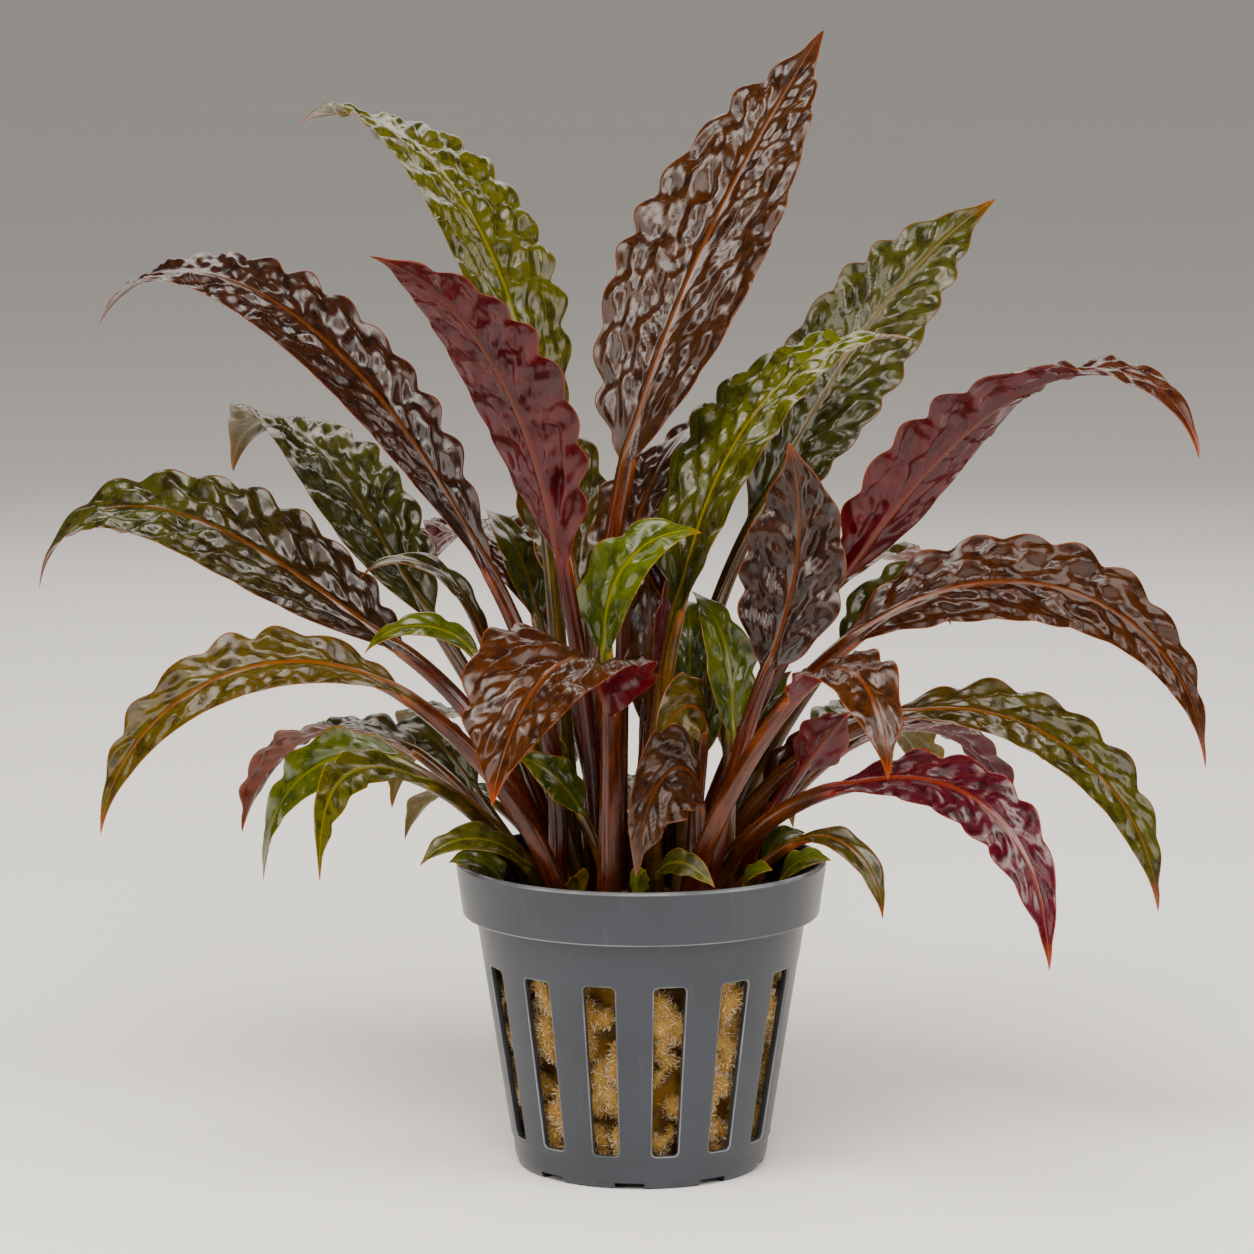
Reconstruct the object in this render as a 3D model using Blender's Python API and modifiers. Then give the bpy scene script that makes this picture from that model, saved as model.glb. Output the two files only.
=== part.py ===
"""Cryptocoryne wendtii in a slotted net pot: pot, growing wool and leaves.

The origin is the centre of the pot's underside, +Z is up, and -Y faces the viewer.
Sizes are in millimetres and angles in degrees until a mesh is made.
"""
from dataclasses import dataclass
from math import cos, pi, radians, sin

import bmesh
import bpy
import numpy as np
from mathutils import Matrix, Vector

MM = 0.001
TURN = 2 * pi

# The pot
RIM_RADIUS = 25.0
RIM_HEIGHT = 41.7
WALL = 1.0
LIP_ROUND = 0.3
BAND_FOOT_RADIUS = 24.1
BAND_FOOT_HEIGHT = 34.3
SHELF_THICKNESS = 1.2
BODY_TOP_RADIUS = 22.3
BODY_FOOT_RADIUS = 17.6
BODY_FOOT_HEIGHT = 4.1
FOOT_STEP = 0.25
FOOT_RING_RADIUS = 16.9
FOOT_RADIUS = 16.3
FLOOR = 1.5
POT_SIDES = 42

SLOTS = 14
FIRST_SLOT = 10.3
SLOT_TOP = 28.2
SLOT_FOOT = 4.7
SLOT_TOP_WIDTH = 4.3
SLOT_FOOT_WIDTH = 3.5
SLOT_CORNER = 0.7

NOTCHES = 9
FIRST_NOTCH = -5.4
NOTCH_WIDTH = 4.0
NOTCH_HEIGHT = 0.9
NOTCH_DEPTH = 1.6

DRAINS = 7
DRAIN_START = 6.5
DRAIN_END = 12.5
DRAIN_WIDTH = 2.4

# The growing wool
GAP = 0.3
WOOL_TOP = 34.3
WOOL_CLEARANCE = 0.5
WOOL_SHOULDER = 1.0
WOOL_SIDES = 28
WOOL_RINGS = 5
LUMP_DEPTH = 0.9
LUMPS_AROUND = 7
LUMPS_UP = 5

# What all leaves share
FOOT_HEIGHT = WOOL_TOP + GAP
STALK_SIDES = 6
STALK_TAPER = 0.25
RIB_TAPER = 0.6
WAVE_LENGTH = 6.8
WAVE_HEIGHT = 1.1
WAVE_SCALLOP = 0.06
BLADE_FULLNESS = 0.80
BLADE_ROUNDNESS = 0.88
FULL_WAVE_HALF_WIDTH = 5.0
FOLD = 12.0
STALK_STEPS = 4
SHORT_STALK = 28.0
SHORT_STALK_STEPS = 3
FEWEST_BLADE_STEPS = 6
PATH_STEPS = 160

COLOURS = {
    "brown": (0.10, 0.045, 0.022),
    "dark": (0.055, 0.028, 0.020),
    "olive": (0.10, 0.10, 0.025),
    "green": (0.10, 0.17, 0.02),
    "wine": (0.16, 0.025, 0.045),
    "ochre": (0.17, 0.095, 0.025),
}


@dataclass
class Leaf:
    """One leaf, grown as one piece from its foot on the wool to its tip.

    foot is where it stands, heading the way it grows (from +X towards +Y), and lean its tilt from
    upright at the foot, at the blade's base and at the tip. A curl of 1 bends the blade evenly, and
    a higher one keeps the bend for the tip. sway turns the heading along the leaf, roll turns the
    blade about its midrib, and twist turns it further towards the tip.
    """

    name: str
    foot: tuple
    heading: float
    lean: tuple
    curl: float
    stalk: float
    blade: float
    width: float
    sway: float
    roll: float
    thick: float
    tint: str
    twist: float = 0.0


# name, foot, heading, lean, curl, stalk, blade, width, sway, roll, stalk thickness, tint, twist
LEAVES = [
    Leaf("leaf_brown_tall", (-5.5, 0), 45, (-7, 17, 47), 0.6, 61, 71, 22.5, 5, 10, 3.4, "brown"),
    Leaf("leaf_olive_tall_left", (-9, 3.5), 131, (4, 9, 107), 1.2, 59, 86, 19.5, -7, 10, 2.8, "olive"),
    Leaf("leaf_dark_arch_left", (-12, -7), 167, (-10, 31, 131), 1.6, 48, 94, 14, -46, -20, 2.8, "dark"),
    Leaf("leaf_wine_left", (-5, -4), -140, (3, 14, 79), 1.4, 49, 59, 14.5, 13, 15, 2.8, "wine"),
    Leaf(
        "leaf_grey_green_left",
        (-8.5, 7), 147, (26, 44, 168), 3.1, 45, 62, 16.5, -30, -20, 2.8, "olive", 45,
    ),
    Leaf("leaf_brown_green_left", (-11.5, -3.5), 154, (8, 60, 178), 3.3, 43, 68, 17, 1, -30, 3.0, "brown"),
    Leaf("leaf_ochre_arch_left", (-9.5, -12), -164, (15, 55, 173), 1.0, 40, 52, 11, -11, -35, 2.8, "ochre"),
    Leaf("leaf_green_low_left", (-11.5, 2), 174, (30, 67, 178), 0.8, 29, 35, 8.5, -45, -60, 2.2, "green"),
    Leaf("leaf_olive_low_left", (-14, -0.5), -145, (23, 66, 148), 1.4, 28, 42, 5.5, 62, -45, 2.2, "olive"),
    Leaf("leaf_green_short_left", (-12.5, 8), 140, (46, 46, 165), 2.2, 19, 24, 7, -6, -25, 2.0, "green"),
    Leaf("leaf_olive_curl_left", (-8.5, 0), 167, (20, 19, 145), 1.8, 37, 25, 5.5, 9, -15, 2.2, "olive"),
    Leaf("leaf_green_curl_left", (-7.5, -5), 171, (8, 37, 146), 1.1, 38, 18, 5, 8, -30, 2.0, "green"),
    Leaf("leaf_rim_left", (-11, -9.5), -166, (18, 40, 143), 1.2, 9, 17, 5, 5, -35, 2.0, "olive"),
    Leaf(
        "leaf_brown_front",
        (-4.5, -14.5), -110, (-4, -1, 162), 0.6, 29, 44, 22.5, -12, -25, 3.2, "brown", 45,
    ),
    Leaf("leaf_bright_green_front", (-4, -7.5), 9, (1, -3, 104), 1.5, 36, 24, 11.5, -1, 30, 2.4, "green"),
    Leaf("leaf_yellow_green_right", (2, -4), 26, (-5, 14, 105), 1.6, 41, 59, 20, 11, 0, 2.8, "green"),
    Leaf("leaf_olive_tall_right", (4.5, 9.5), 49, (-3, 39, 67), 2.0, 54, 65, 16, -10, 45, 2.8, "olive"),
    Leaf("leaf_dark_upright_right", (8, -9), 8, (9, 20, -17), 1.5, 35, 31, 14, -2, 70, 2.8, "dark"),
    Leaf("leaf_wine_arch_right", (6, 7), -25, (14, 38, 174), 2.9, 50, 69, 14.5, -4, -55, 2.8, "wine", 80),
    Leaf("leaf_brown_arch_right", (7, 0.5), 5, (9, 52, 176), 1.1, 43, 66, 14, 10, 50, 3.2, "brown"),
    Leaf("leaf_olive_arch_right", (8, 4), -4, (16, 73, 176), 1.0, 38, 51, 13, -15, 25, 2.8, "olive"),
    Leaf("leaf_purple_arch_right", (7.5, -3.5), -23, (23, 71, 178), 1.4, 28, 51, 9, -48, 40, 2.8, "wine"),
    Leaf("leaf_brown_fold_right", (5, -13.5), -49, (19, 52, 175), 1.4, 42, 35, 9.5, -27, 15, 2.8, "brown"),
    Leaf("leaf_ochre_fold_front", (6.5, -6), -135, (-3, -11, 177), 0.7, 25, 17, 9, 18, -80, 2.0, "ochre"),
    Leaf("leaf_brown_low_front", (7.5, -12), -115, (-4, 0, 176), 0.7, 16, 31, 11.5, 2, -70, 2.2, "brown"),
    Leaf("leaf_green_low_front", (-4, -10.5), -170, (1, 29, 78), 1.5, 16, 12, 6, -1, -55, 2.0, "green"),
    Leaf("leaf_green_upright_front", (11.5, -2), 107, (-4, -3, 75), 1.5, 25, 22, 8, 21, 5, 2.2, "green"),
    Leaf("leaf_rim_right", (10, -6.5), -26, (33, 58, 178), 1.0, 16, 21, 4, -27, 30, 1.8, "green"),
    Leaf("leaf_rim_front", (1, -14), -55, (4, 26, 137), 0.7, 8, 12, 3.5, 16, 65, 1.6, "green"),
    Leaf("leaf_green_behind_right", (9.5, 7), 29, (18, 45, 68), 1.3, 40, 21, 9, -5, 20, 2.4, "green"),
    Leaf("leaf_brown_behind", (-3, 6.5), 70, (1, 4, 67), 0.6, 42, 30, 14, -10, -10, 2.4, "brown"),
    Leaf("leaf_grey_behind_left", (-5.5, 7), 124, (26, 20, 77), 1.6, 40, 20, 7.5, 3, 5, 2.2, "olive"),
    Leaf("leaf_green_young_left", (-8, -2.5), 155, (19, 7, 12), 1.6, 18, 9, 4, -2, -55, 1.8, "green"),
    Leaf("leaf_wine_behind_right", (11, 1), -4, (22, 36, 44), 1.6, 22, 10, 7, 0, -85, 2.2, "wine"),
    Leaf("leaf_green_centre", (4.5, -1.5), 67, (20, 8, 87), 1.5, 29, 17, 6, 33, -15, 2.0, "green"),
    Leaf("leaf_wine_furled", (1, -0.5), 60, (1, 8, 25), 1.6, 30, 18, 3.5, -1, -90, 2.0, "wine"),
]


@dataclass
class Tier:
    """Leaves of one size at the back, each with its own foot and heading."""

    name: str
    places: tuple
    lean: tuple
    curl: float
    stalk: float
    blade: float
    width: float
    thick: float
    tints: tuple


TIERS = [
    Tier(
        "leaf_back_tall",
        ((-0.5, 4.5, 69), (-5.5, 4, 107)),
        (5, 25, 78), 1.4, 40, 43, 13.5, 2.6, ("brown", "olive"),
    ),
    Tier(
        "leaf_back_arch",
        ((8.5, 11, 53), (0.5, 9, 88)),
        (15, 45, 154), 1.2, 39, 50, 13.5, 2.6, ("olive", "wine"),
    ),
    Tier("leaf_back_bow", ((-4, 9.5, 120),), (15, 38, 152), 1.2, 39, 50, 13.5, 2.6, ("brown",)),
    Tier(
        "leaf_back_low",
        ((11.5, 5, 36), (12, 9.5, 53), (4, 12.5, 77), (-2.5, 12.5, 100), (-7.5, 10, 124), (-14.5, 3.5, 145)),
        (28, 65, 170), 1.1, 28, 40, 11, 2.2, ("brown", "green", "olive"),
    ),
    Tier(
        "leaf_back_rim",
        ((6.5, 13, 62), (0, 14, 92), (-10.5, 10, 134)),
        (34, 70, 162), 1.2, 18, 23, 6.5, 1.8, ("green", "olive"),
    ),
]


def tier_leaves(tier):
    """The leaves of one tier, with its tints taken in turn."""
    leaves = []
    for number, (x, y, heading) in enumerate(tier.places):
        tint = tier.tints[number % len(tier.tints)]
        name = f"{tier.name}_{number + 1}"
        size = (tier.curl, tier.stalk, tier.blade, tier.width)
        leaves.append(Leaf(name, (x, y), heading, tier.lean, *size, 0, 0, tier.thick, tint))
    return leaves


def clear_scene():
    for obj in list(bpy.data.objects):
        bpy.data.objects.remove(obj, do_unlink=True)


def collection(name):
    group = bpy.data.collections.new(name)
    bpy.context.scene.collection.children.link(group)
    return group


def material(name, colour, roughness):
    mat = bpy.data.materials.new(name)
    mat.use_nodes = True
    shader = mat.node_tree.nodes["Principled BSDF"]
    shader.inputs["Base Color"].default_value = (*colour, 1)
    shader.inputs["Roughness"].default_value = roughness
    shader.inputs["Metallic"].default_value = 0.0
    return mat


def add_object(name, bm, group, mat=None):
    """A new object from a bmesh in millimetres."""
    bmesh.ops.scale(bm, vec=(MM, MM, MM), verts=bm.verts)
    mesh = bpy.data.meshes.new(name)
    bm.to_mesh(mesh)
    bm.free()
    obj = bpy.data.objects.new(name, mesh)
    group.objects.link(obj)
    if mat:
        mesh.materials.append(mat)
    return obj


def turned(name, profile, sides, group, mat=None):
    """A profile of (radius, height) points turned about Z with a Screw modifier."""
    bm = bmesh.new()
    verts = [bm.verts.new((radius, 0, height)) for radius, height in profile]
    for first, second in zip(verts, verts[1:]):
        bm.edges.new((first, second))
    obj = add_object(name, bm, group, mat)
    screw = obj.modifiers.new("turn", "SCREW")
    screw.steps = sides
    screw.render_steps = sides
    screw.use_merge_vertices = True
    screw.merge_threshold = 0.00001
    return obj


def pot_profile():
    """From the top of the lip down the outside, under the floor and up the inside."""
    lip = RIM_HEIGHT - LIP_ROUND
    shelf = BAND_FOOT_HEIGHT + SHELF_THICKNESS
    return [
        (RIM_RADIUS - LIP_ROUND, RIM_HEIGHT),
        (RIM_RADIUS, lip),
        (BAND_FOOT_RADIUS, BAND_FOOT_HEIGHT + LIP_ROUND),
        (BAND_FOOT_RADIUS - LIP_ROUND, BAND_FOOT_HEIGHT),
        (BODY_TOP_RADIUS, BAND_FOOT_HEIGHT),
        (BODY_FOOT_RADIUS, BODY_FOOT_HEIGHT),
        (BODY_FOOT_RADIUS - FOOT_STEP, BODY_FOOT_HEIGHT - FOOT_STEP),
        (FOOT_RING_RADIUS, NOTCH_HEIGHT),
        (FOOT_RADIUS, 0),
        (0, 0),
        (0, FLOOR),
        (inner_radius(FLOOR), FLOOR),
        (BODY_TOP_RADIUS - WALL, shelf),
        (BAND_FOOT_RADIUS - WALL, shelf),
        (RIM_RADIUS - WALL, lip),
        (RIM_RADIUS - WALL + LIP_ROUND, RIM_HEIGHT),
        (RIM_RADIUS - LIP_ROUND, RIM_HEIGHT),
    ]


def inner_radius(height):
    """The pot body's inner radius at a height, on its straight taper."""
    slope = (BODY_TOP_RADIUS - BODY_FOOT_RADIUS) / (BAND_FOOT_HEIGHT - BODY_FOOT_HEIGHT)
    return BODY_FOOT_RADIUS + slope * (height - BODY_FOOT_HEIGHT) - WALL


def add_box(bm, start, end, foot, top, foot_width, top_width, bearing, corner=0.0):
    """A box from start to end along its bearing, wider or narrower at its top."""
    made = bmesh.ops.create_cube(bm, size=1.0)["verts"]
    for vert in made:
        high = vert.co.z > 0
        width = top_width if high else foot_width
        vert.co.x = end if vert.co.x > 0 else start
        vert.co.y *= width
        vert.co.z = top if high else foot
    if corner:
        edges = {edge for vert in made for edge in vert.link_edges}
        radial = [edge for edge in edges if abs(edge.verts[0].co.x - edge.verts[1].co.x) > 0.5]
        rounded = bmesh.ops.bevel(bm, geom=radial, offset=corner, segments=2, profile=0.5, affect="EDGES")
        made = list({vert for face in rounded["faces"] for vert in face.verts})
    bmesh.ops.rotate(bm, verts=made, matrix=Matrix.Rotation(radians(bearing - 90), 3, "Z"))


def cut(target, cutter):
    """Takes the cutter's shape out of the target."""
    cutter.hide_render = True
    cutter.display_type = "WIRE"
    cutter.hide_set(True)
    boolean = target.modifiers.new(cutter.name, "BOOLEAN")
    boolean.operation = "DIFFERENCE"
    boolean.solver = "EXACT"
    boolean.object = cutter


def make_pot(group, cutters):
    pot = turned("pot", pot_profile(), POT_SIDES, group, material("grey_plastic", (0.11, 0.12, 0.14), 0.4))

    bm = bmesh.new()
    for number in range(SLOTS):
        bearing = FIRST_SLOT + 360 / SLOTS * number
        widths = (SLOT_FOOT_WIDTH, SLOT_TOP_WIDTH)
        add_box(bm, FOOT_RADIUS - 3, RIM_RADIUS, SLOT_FOOT, SLOT_TOP, *widths, bearing, SLOT_CORNER)
    cut(pot, add_object("slot_cutter", bm, cutters))

    bm = bmesh.new()
    for number in range(NOTCHES):
        bearing = FIRST_NOTCH + 360 / NOTCHES * number
        widths = (NOTCH_WIDTH, NOTCH_WIDTH)
        add_box(bm, FOOT_RADIUS - NOTCH_DEPTH, RIM_RADIUS, -1, NOTCH_HEIGHT, *widths, bearing)
    cut(pot, add_object("notch_cutter", bm, cutters))

    bm = bmesh.new()
    for number in range(DRAINS):
        bearing = 360 / DRAINS * number
        add_box(bm, DRAIN_START, DRAIN_END, -1, FLOOR + 1, DRAIN_WIDTH, DRAIN_WIDTH, bearing)
    cut(pot, add_object("drain_cutter", bm, cutters))


def make_wool(group):
    """A plug that fills the pot's body, with lumps in its side."""
    low = FLOOR + GAP
    bm = bmesh.new()
    rows = [(0, low)]
    for ring in range(WOOL_RINGS + 1):
        height = low + (WOOL_TOP - WOOL_SHOULDER - low) * ring / WOOL_RINGS
        rows.append((inner_radius(height) - WOOL_CLEARANCE, height))
    rows.append((rows[-1][0] - 2 * WOOL_SHOULDER, WOOL_TOP))
    rows.append((0, WOOL_TOP))
    verts = [bm.verts.new((radius, 0, height)) for radius, height in rows]
    edges = [bm.edges.new(pair) for pair in zip(verts, verts[1:])]
    spin = {"axis": (0, 0, 1), "cent": (0, 0, 0), "angle": TURN, "steps": WOOL_SIDES}
    bmesh.ops.spin(bm, geom=verts + edges, use_merge=True, **spin)
    bmesh.ops.remove_doubles(bm, verts=bm.verts, dist=0.01)
    for vert in bm.verts:
        around = np.arctan2(vert.co.y, vert.co.x) * LUMPS_AROUND
        up = pi * LUMPS_UP * (vert.co.z - low) / (WOOL_TOP - low)
        dent = LUMP_DEPTH * (0.5 - 0.5 * cos(around + up) * cos(around - up))
        radius = Vector((vert.co.x, vert.co.y)).length
        if radius > 1:
            vert.co.xy *= 1 - dent / radius
    bmesh.ops.recalc_face_normals(bm, faces=bm.faces)
    add_object("wool", bm, group, material("growing_wool", (0.30, 0.20, 0.07), 0.95))


def midrib(leaf, stalk_steps, blade_steps):
    """Stations along a leaf: point, tangent, upper-face normal, sideways, and place along it.

    The place runs from -1 at the foot to 0 at the blade's base and 1 at the tip.
    """
    total = leaf.stalk + leaf.blade
    foot, base, tip = (radians(angle) for angle in leaf.lean)

    def lean_at(along):
        if along < leaf.stalk:
            return foot + (base - foot) * along / leaf.stalk
        return base + (tip - base) * min((along - leaf.stalk) / leaf.blade, 1) ** leaf.curl

    def heading_at(along):
        return radians(leaf.heading) + radians(leaf.sway) * (along / total) ** 1.5

    def tangent_at(along):
        lean, heading = lean_at(along), heading_at(along)
        return np.array([sin(lean) * cos(heading), sin(lean) * sin(heading), cos(lean)])

    step = total / PATH_STEPS
    path = [np.array([*leaf.foot, FOOT_HEIGHT], float)]
    for number in range(PATH_STEPS):
        path.append(path[-1] + tangent_at((number + 0.5) * step) * step)
    path = np.array(path)
    marks = np.arange(PATH_STEPS + 1) * step

    stations = []
    places = [number / stalk_steps - 1 for number in range(stalk_steps)]
    places += [number / blade_steps for number in range(blade_steps + 1)]
    for place in places:
        along = leaf.stalk * (place + 1) if place < 0 else leaf.stalk + leaf.blade * place
        point = np.array([np.interp(along, marks, path[:, axis]) for axis in range(3)])
        tangent = tangent_at(along)
        lean, heading = lean_at(along), heading_at(along)
        up = np.array([-cos(lean) * cos(heading), -cos(lean) * sin(heading), sin(lean)])
        side = np.cross(tangent, up)
        share = (along - 0.3 * leaf.stalk) / (0.7 * leaf.stalk + 0.15 * leaf.blade)
        roll = radians(leaf.roll) * min(max(share, 0), 1) + radians(leaf.twist) * max(place, 0)
        normal = up * cos(roll) + side * sin(roll)
        stations.append((point, tangent, normal, side * cos(roll) - up * sin(roll), place))
    return stations


def half_width(leaf, place):
    """Half the blade's width: full below its middle, then drawn out to the tip."""
    return leaf.width / 2 * sin(pi * place ** BLADE_FULLNESS) ** BLADE_ROUNDNESS


def stalk_ring(point, tangent, normal, side, radius, at_foot):
    """A hexagon round the stalk, cut level where the leaf stands on the wool."""
    if at_foot:
        level = np.array([normal[0], normal[1], 0])
        normal = level / np.linalg.norm(level) / tangent[2]
    turns = [TURN * corner / STALK_SIDES for corner in range(STALK_SIDES)]
    return [point + radius * (normal * cos(turn) + side * sin(turn)) for turn in turns]


def blade_ring(leaf, station, radius, crest):
    """Ridge, right margin, underside of the rib and left margin, with the margins in waves."""
    point, _, normal, side, place = station
    half = half_width(leaf, place) * (1 + WAVE_SCALLOP * crest)
    wave = WAVE_HEIGHT * min(1, half / FULL_WAVE_HALF_WIDTH) * crest
    rib = radius * (1 - RIB_TAPER * place)
    out = side * half * cos(radians(FOLD))
    rise = half * sin(radians(FOLD)) * (1 - 0.5 * place)
    right = point + out + normal * (rise + wave)
    left = point - out + normal * (rise - wave)
    return [point + normal * rib * 0.8, right, right, point - normal * rib, left, left]


def make_leaf(leaf, group):
    """A leaf lofted from its six-sided stalk into a thin, folded and wavy blade."""
    stalk_steps = STALK_STEPS if leaf.stalk > SHORT_STALK else SHORT_STALK_STEPS
    blade_steps = max(FEWEST_BLADE_STEPS, 2 * round(leaf.blade / WAVE_LENGTH))
    bm = bmesh.new()
    rings = []
    for number, station in enumerate(midrib(leaf, stalk_steps, blade_steps)):
        point, tangent, normal, side, place = station
        radius = leaf.thick / 2 * (1 - STALK_TAPER * min(place + 1, 1))
        crest = 1 if (number - stalk_steps) % 2 else -1
        if place <= 0:
            corners = stalk_ring(point, tangent, normal, side, radius, number == 0)
        elif place < 1:
            corners = blade_ring(leaf, station, radius, crest)
        else:
            corners = [point] * STALK_SIDES
        rings.append([bm.verts.new(corner) for corner in corners])
    for low, high in zip(rings, rings[1:]):
        for corner in range(STALK_SIDES):
            after = (corner + 1) % STALK_SIDES
            bm.faces.new((low[corner], low[after], high[after]))
            bm.faces.new((low[corner], high[after], high[corner]))
    bm.faces.new(reversed(rings[0]))
    bmesh.ops.remove_doubles(bm, verts=bm.verts, dist=0.001)
    mat = material(leaf.name, COLOURS[leaf.tint], 0.3)
    add_object(leaf.name, bm, group, mat)


def main():
    clear_scene()
    group = collection("cryptocoryne_wendtii")
    cutters = collection("cutters")
    make_pot(group, cutters)
    make_wool(group)
    for leaf in LEAVES:
        make_leaf(leaf, group)
    for tier in TIERS:
        for leaf in tier_leaves(tier):
            make_leaf(leaf, group)


main()
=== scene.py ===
"""Cryptocoryne wendtii in its net pot: the finished surfaces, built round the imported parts.

Sizes are in millimetres and angles in degrees until a mesh is made. -Y faces the viewer.
"""

from dataclasses import dataclass
from math import cos, pi, radians, sin

import bmesh
import bpy
import numpy as np
from mathutils import Matrix, Vector


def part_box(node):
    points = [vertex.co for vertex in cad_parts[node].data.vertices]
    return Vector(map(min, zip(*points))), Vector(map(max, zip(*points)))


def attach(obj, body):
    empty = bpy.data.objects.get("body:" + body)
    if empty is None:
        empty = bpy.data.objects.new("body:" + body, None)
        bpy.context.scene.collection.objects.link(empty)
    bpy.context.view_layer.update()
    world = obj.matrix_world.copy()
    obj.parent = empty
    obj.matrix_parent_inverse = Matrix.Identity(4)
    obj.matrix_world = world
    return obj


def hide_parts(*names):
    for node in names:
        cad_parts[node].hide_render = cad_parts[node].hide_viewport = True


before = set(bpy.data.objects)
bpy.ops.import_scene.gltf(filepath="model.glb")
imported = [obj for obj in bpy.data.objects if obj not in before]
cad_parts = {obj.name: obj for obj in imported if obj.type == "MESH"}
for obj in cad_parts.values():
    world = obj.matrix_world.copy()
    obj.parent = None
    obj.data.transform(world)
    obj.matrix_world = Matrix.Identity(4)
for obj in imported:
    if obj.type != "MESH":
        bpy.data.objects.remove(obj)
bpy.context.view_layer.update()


# The net pot
# One injection-moulded piece of grey plastic: a plain band for a rim, a tapered wall with 14 slots
# that roots and water pass through, and a foot ring with shallow notches. The mould left every edge
# slightly rounded, so the slots and the lip catch a thin line of light. A painted highlight of paler
# grey is added along the slot edges, the lip's crest and the band's lower edge.
MM = 0.001
TURN = 2 * pi
POT_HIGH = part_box("pot")[1]
RIM_RADIUS = POT_HIGH.x / MM
RIM_HEIGHT = POT_HIGH.z / MM
WALL = 1.0
LIP_ROUND = WALL / 2
BAND_FOOT_RADIUS = 24.1
BAND_FOOT_HEIGHT = 34.3
BAND_ROUND = 0.45
SHELF_THICKNESS = 1.2
NECK_HEIGHT = 32.0
BODY_TOP_RADIUS = 22.3
BODY_FOOT_RADIUS = 17.6
BODY_FOOT_HEIGHT = 4.1
FOOT_STEP = 0.25
FOOT_CURVE = ((17.25, 2.6), (17.05, 1.4), (16.8, 0.6), (16.5, 0.15), (16.2, 0.0))
FLOOR = 1.5
FLOOR_RINGS = (14.5, 12.0, 6.0)

SLOTS = 14
FIRST_SLOT = 10.3
SLOT_TOP = 28.2
SLOT_FOOT = 4.7
SLOT_TOP_WIDTH = 4.3
SLOT_FOOT_WIDTH = 3.5
SLOT_CORNER = 0.6
SLOT_EDGE = 0.26
SLOT_BORDER_TOP = 29.6
BORDER_TO_SLOT = (0, 0.3, 0.6, 0.85, 1)
STEPS_ACROSS = 12
STEPS_UP = 24
CORNER_STEPS = 3
ARC_STEPS = 5
LIP_STEPS = 10

NOTCHES = 9
FIRST_NOTCH = -5.4
NOTCH_WIDTH = 4.0
NOTCH_HEIGHT = 0.9
NOTCH_DEPTH = 1.6

DRAINS = 7
DRAIN_START = 6.5
DRAIN_END = 12.5
DRAIN_WIDTH = 2.4

CUT_PAST = 1.0
WELD = 0.002
CREASE = 50.0
CREST_SHARE = 0.8
# How strong the painted highlight is on the band's lower edge, against 1 on the lip and the slots.
BAND_PAINTED_LIGHT = 0.8
POT_GREY = (0.025, 0.030, 0.040)
SCUFFED_GREY = (0.20, 0.21, 0.23)
# The paler grey of the painted highlight on the marked edges.
PAINTED_HIGHLIGHT_GREY = (0.24, 0.25, 0.27)


def body_radius(height):
    """The outside of the pot's tapered body."""
    slope = (BODY_TOP_RADIUS - BODY_FOOT_RADIUS) / (BAND_FOOT_HEIGHT - BODY_FOOT_HEIGHT)
    return BODY_FOOT_RADIUS + slope * (height - BODY_FOOT_HEIGHT)


def arc(centre, radius, start, end, steps=ARC_STEPS):
    """Points on an arc round a centre, from one angle to another."""
    angles = [radians(start + (end - start) * step / steps) for step in range(steps + 1)]
    return [(centre[0] + radius * cos(angle), centre[1] + radius * sin(angle)) for angle in angles]


def band_profile():
    """From the body's top edge out round the band, over the lip and down inside."""
    body = body_radius(BAND_FOOT_HEIGHT - BAND_ROUND)
    shelf = BAND_FOOT_HEIGHT + SHELF_THICKNESS
    inside = BAND_FOOT_RADIUS - WALL
    points = [(body_radius(SLOT_BORDER_TOP), SLOT_BORDER_TOP), (body_radius(NECK_HEIGHT), NECK_HEIGHT)]
    points += arc((body + BAND_ROUND, BAND_FOOT_HEIGHT - BAND_ROUND), BAND_ROUND, 180, 90)
    points += arc((BAND_FOOT_RADIUS - BAND_ROUND, BAND_FOOT_HEIGHT + BAND_ROUND), BAND_ROUND, -90, 0)
    points += arc((RIM_RADIUS - LIP_ROUND, RIM_HEIGHT - LIP_ROUND), LIP_ROUND, 0, 180, LIP_STEPS)
    points += arc((inside - BAND_ROUND, shelf + BAND_ROUND), BAND_ROUND, 0, -90)
    points += [(BODY_TOP_RADIUS - WALL, shelf), (body_radius(SLOT_BORDER_TOP) - WALL, SLOT_BORDER_TOP)]
    return points


def foot_profile():
    """From the body's foot round the foot ring, under the pot and up its inside."""
    points = [(BODY_FOOT_RADIUS, BODY_FOOT_HEIGHT)]
    points += [(BODY_FOOT_RADIUS - FOOT_STEP, BODY_FOOT_HEIGHT - FOOT_STEP), *FOOT_CURVE]
    points += [(radius, 0) for radius in FLOOR_RINGS] + [(0, 0), (0, FLOOR)]
    points += [(radius, FLOOR) for radius in reversed(FLOOR_RINGS)]
    points += [(body_radius(FLOOR) - WALL, FLOOR), (BODY_FOOT_RADIUS - WALL, BODY_FOOT_HEIGHT)]
    return points


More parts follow.
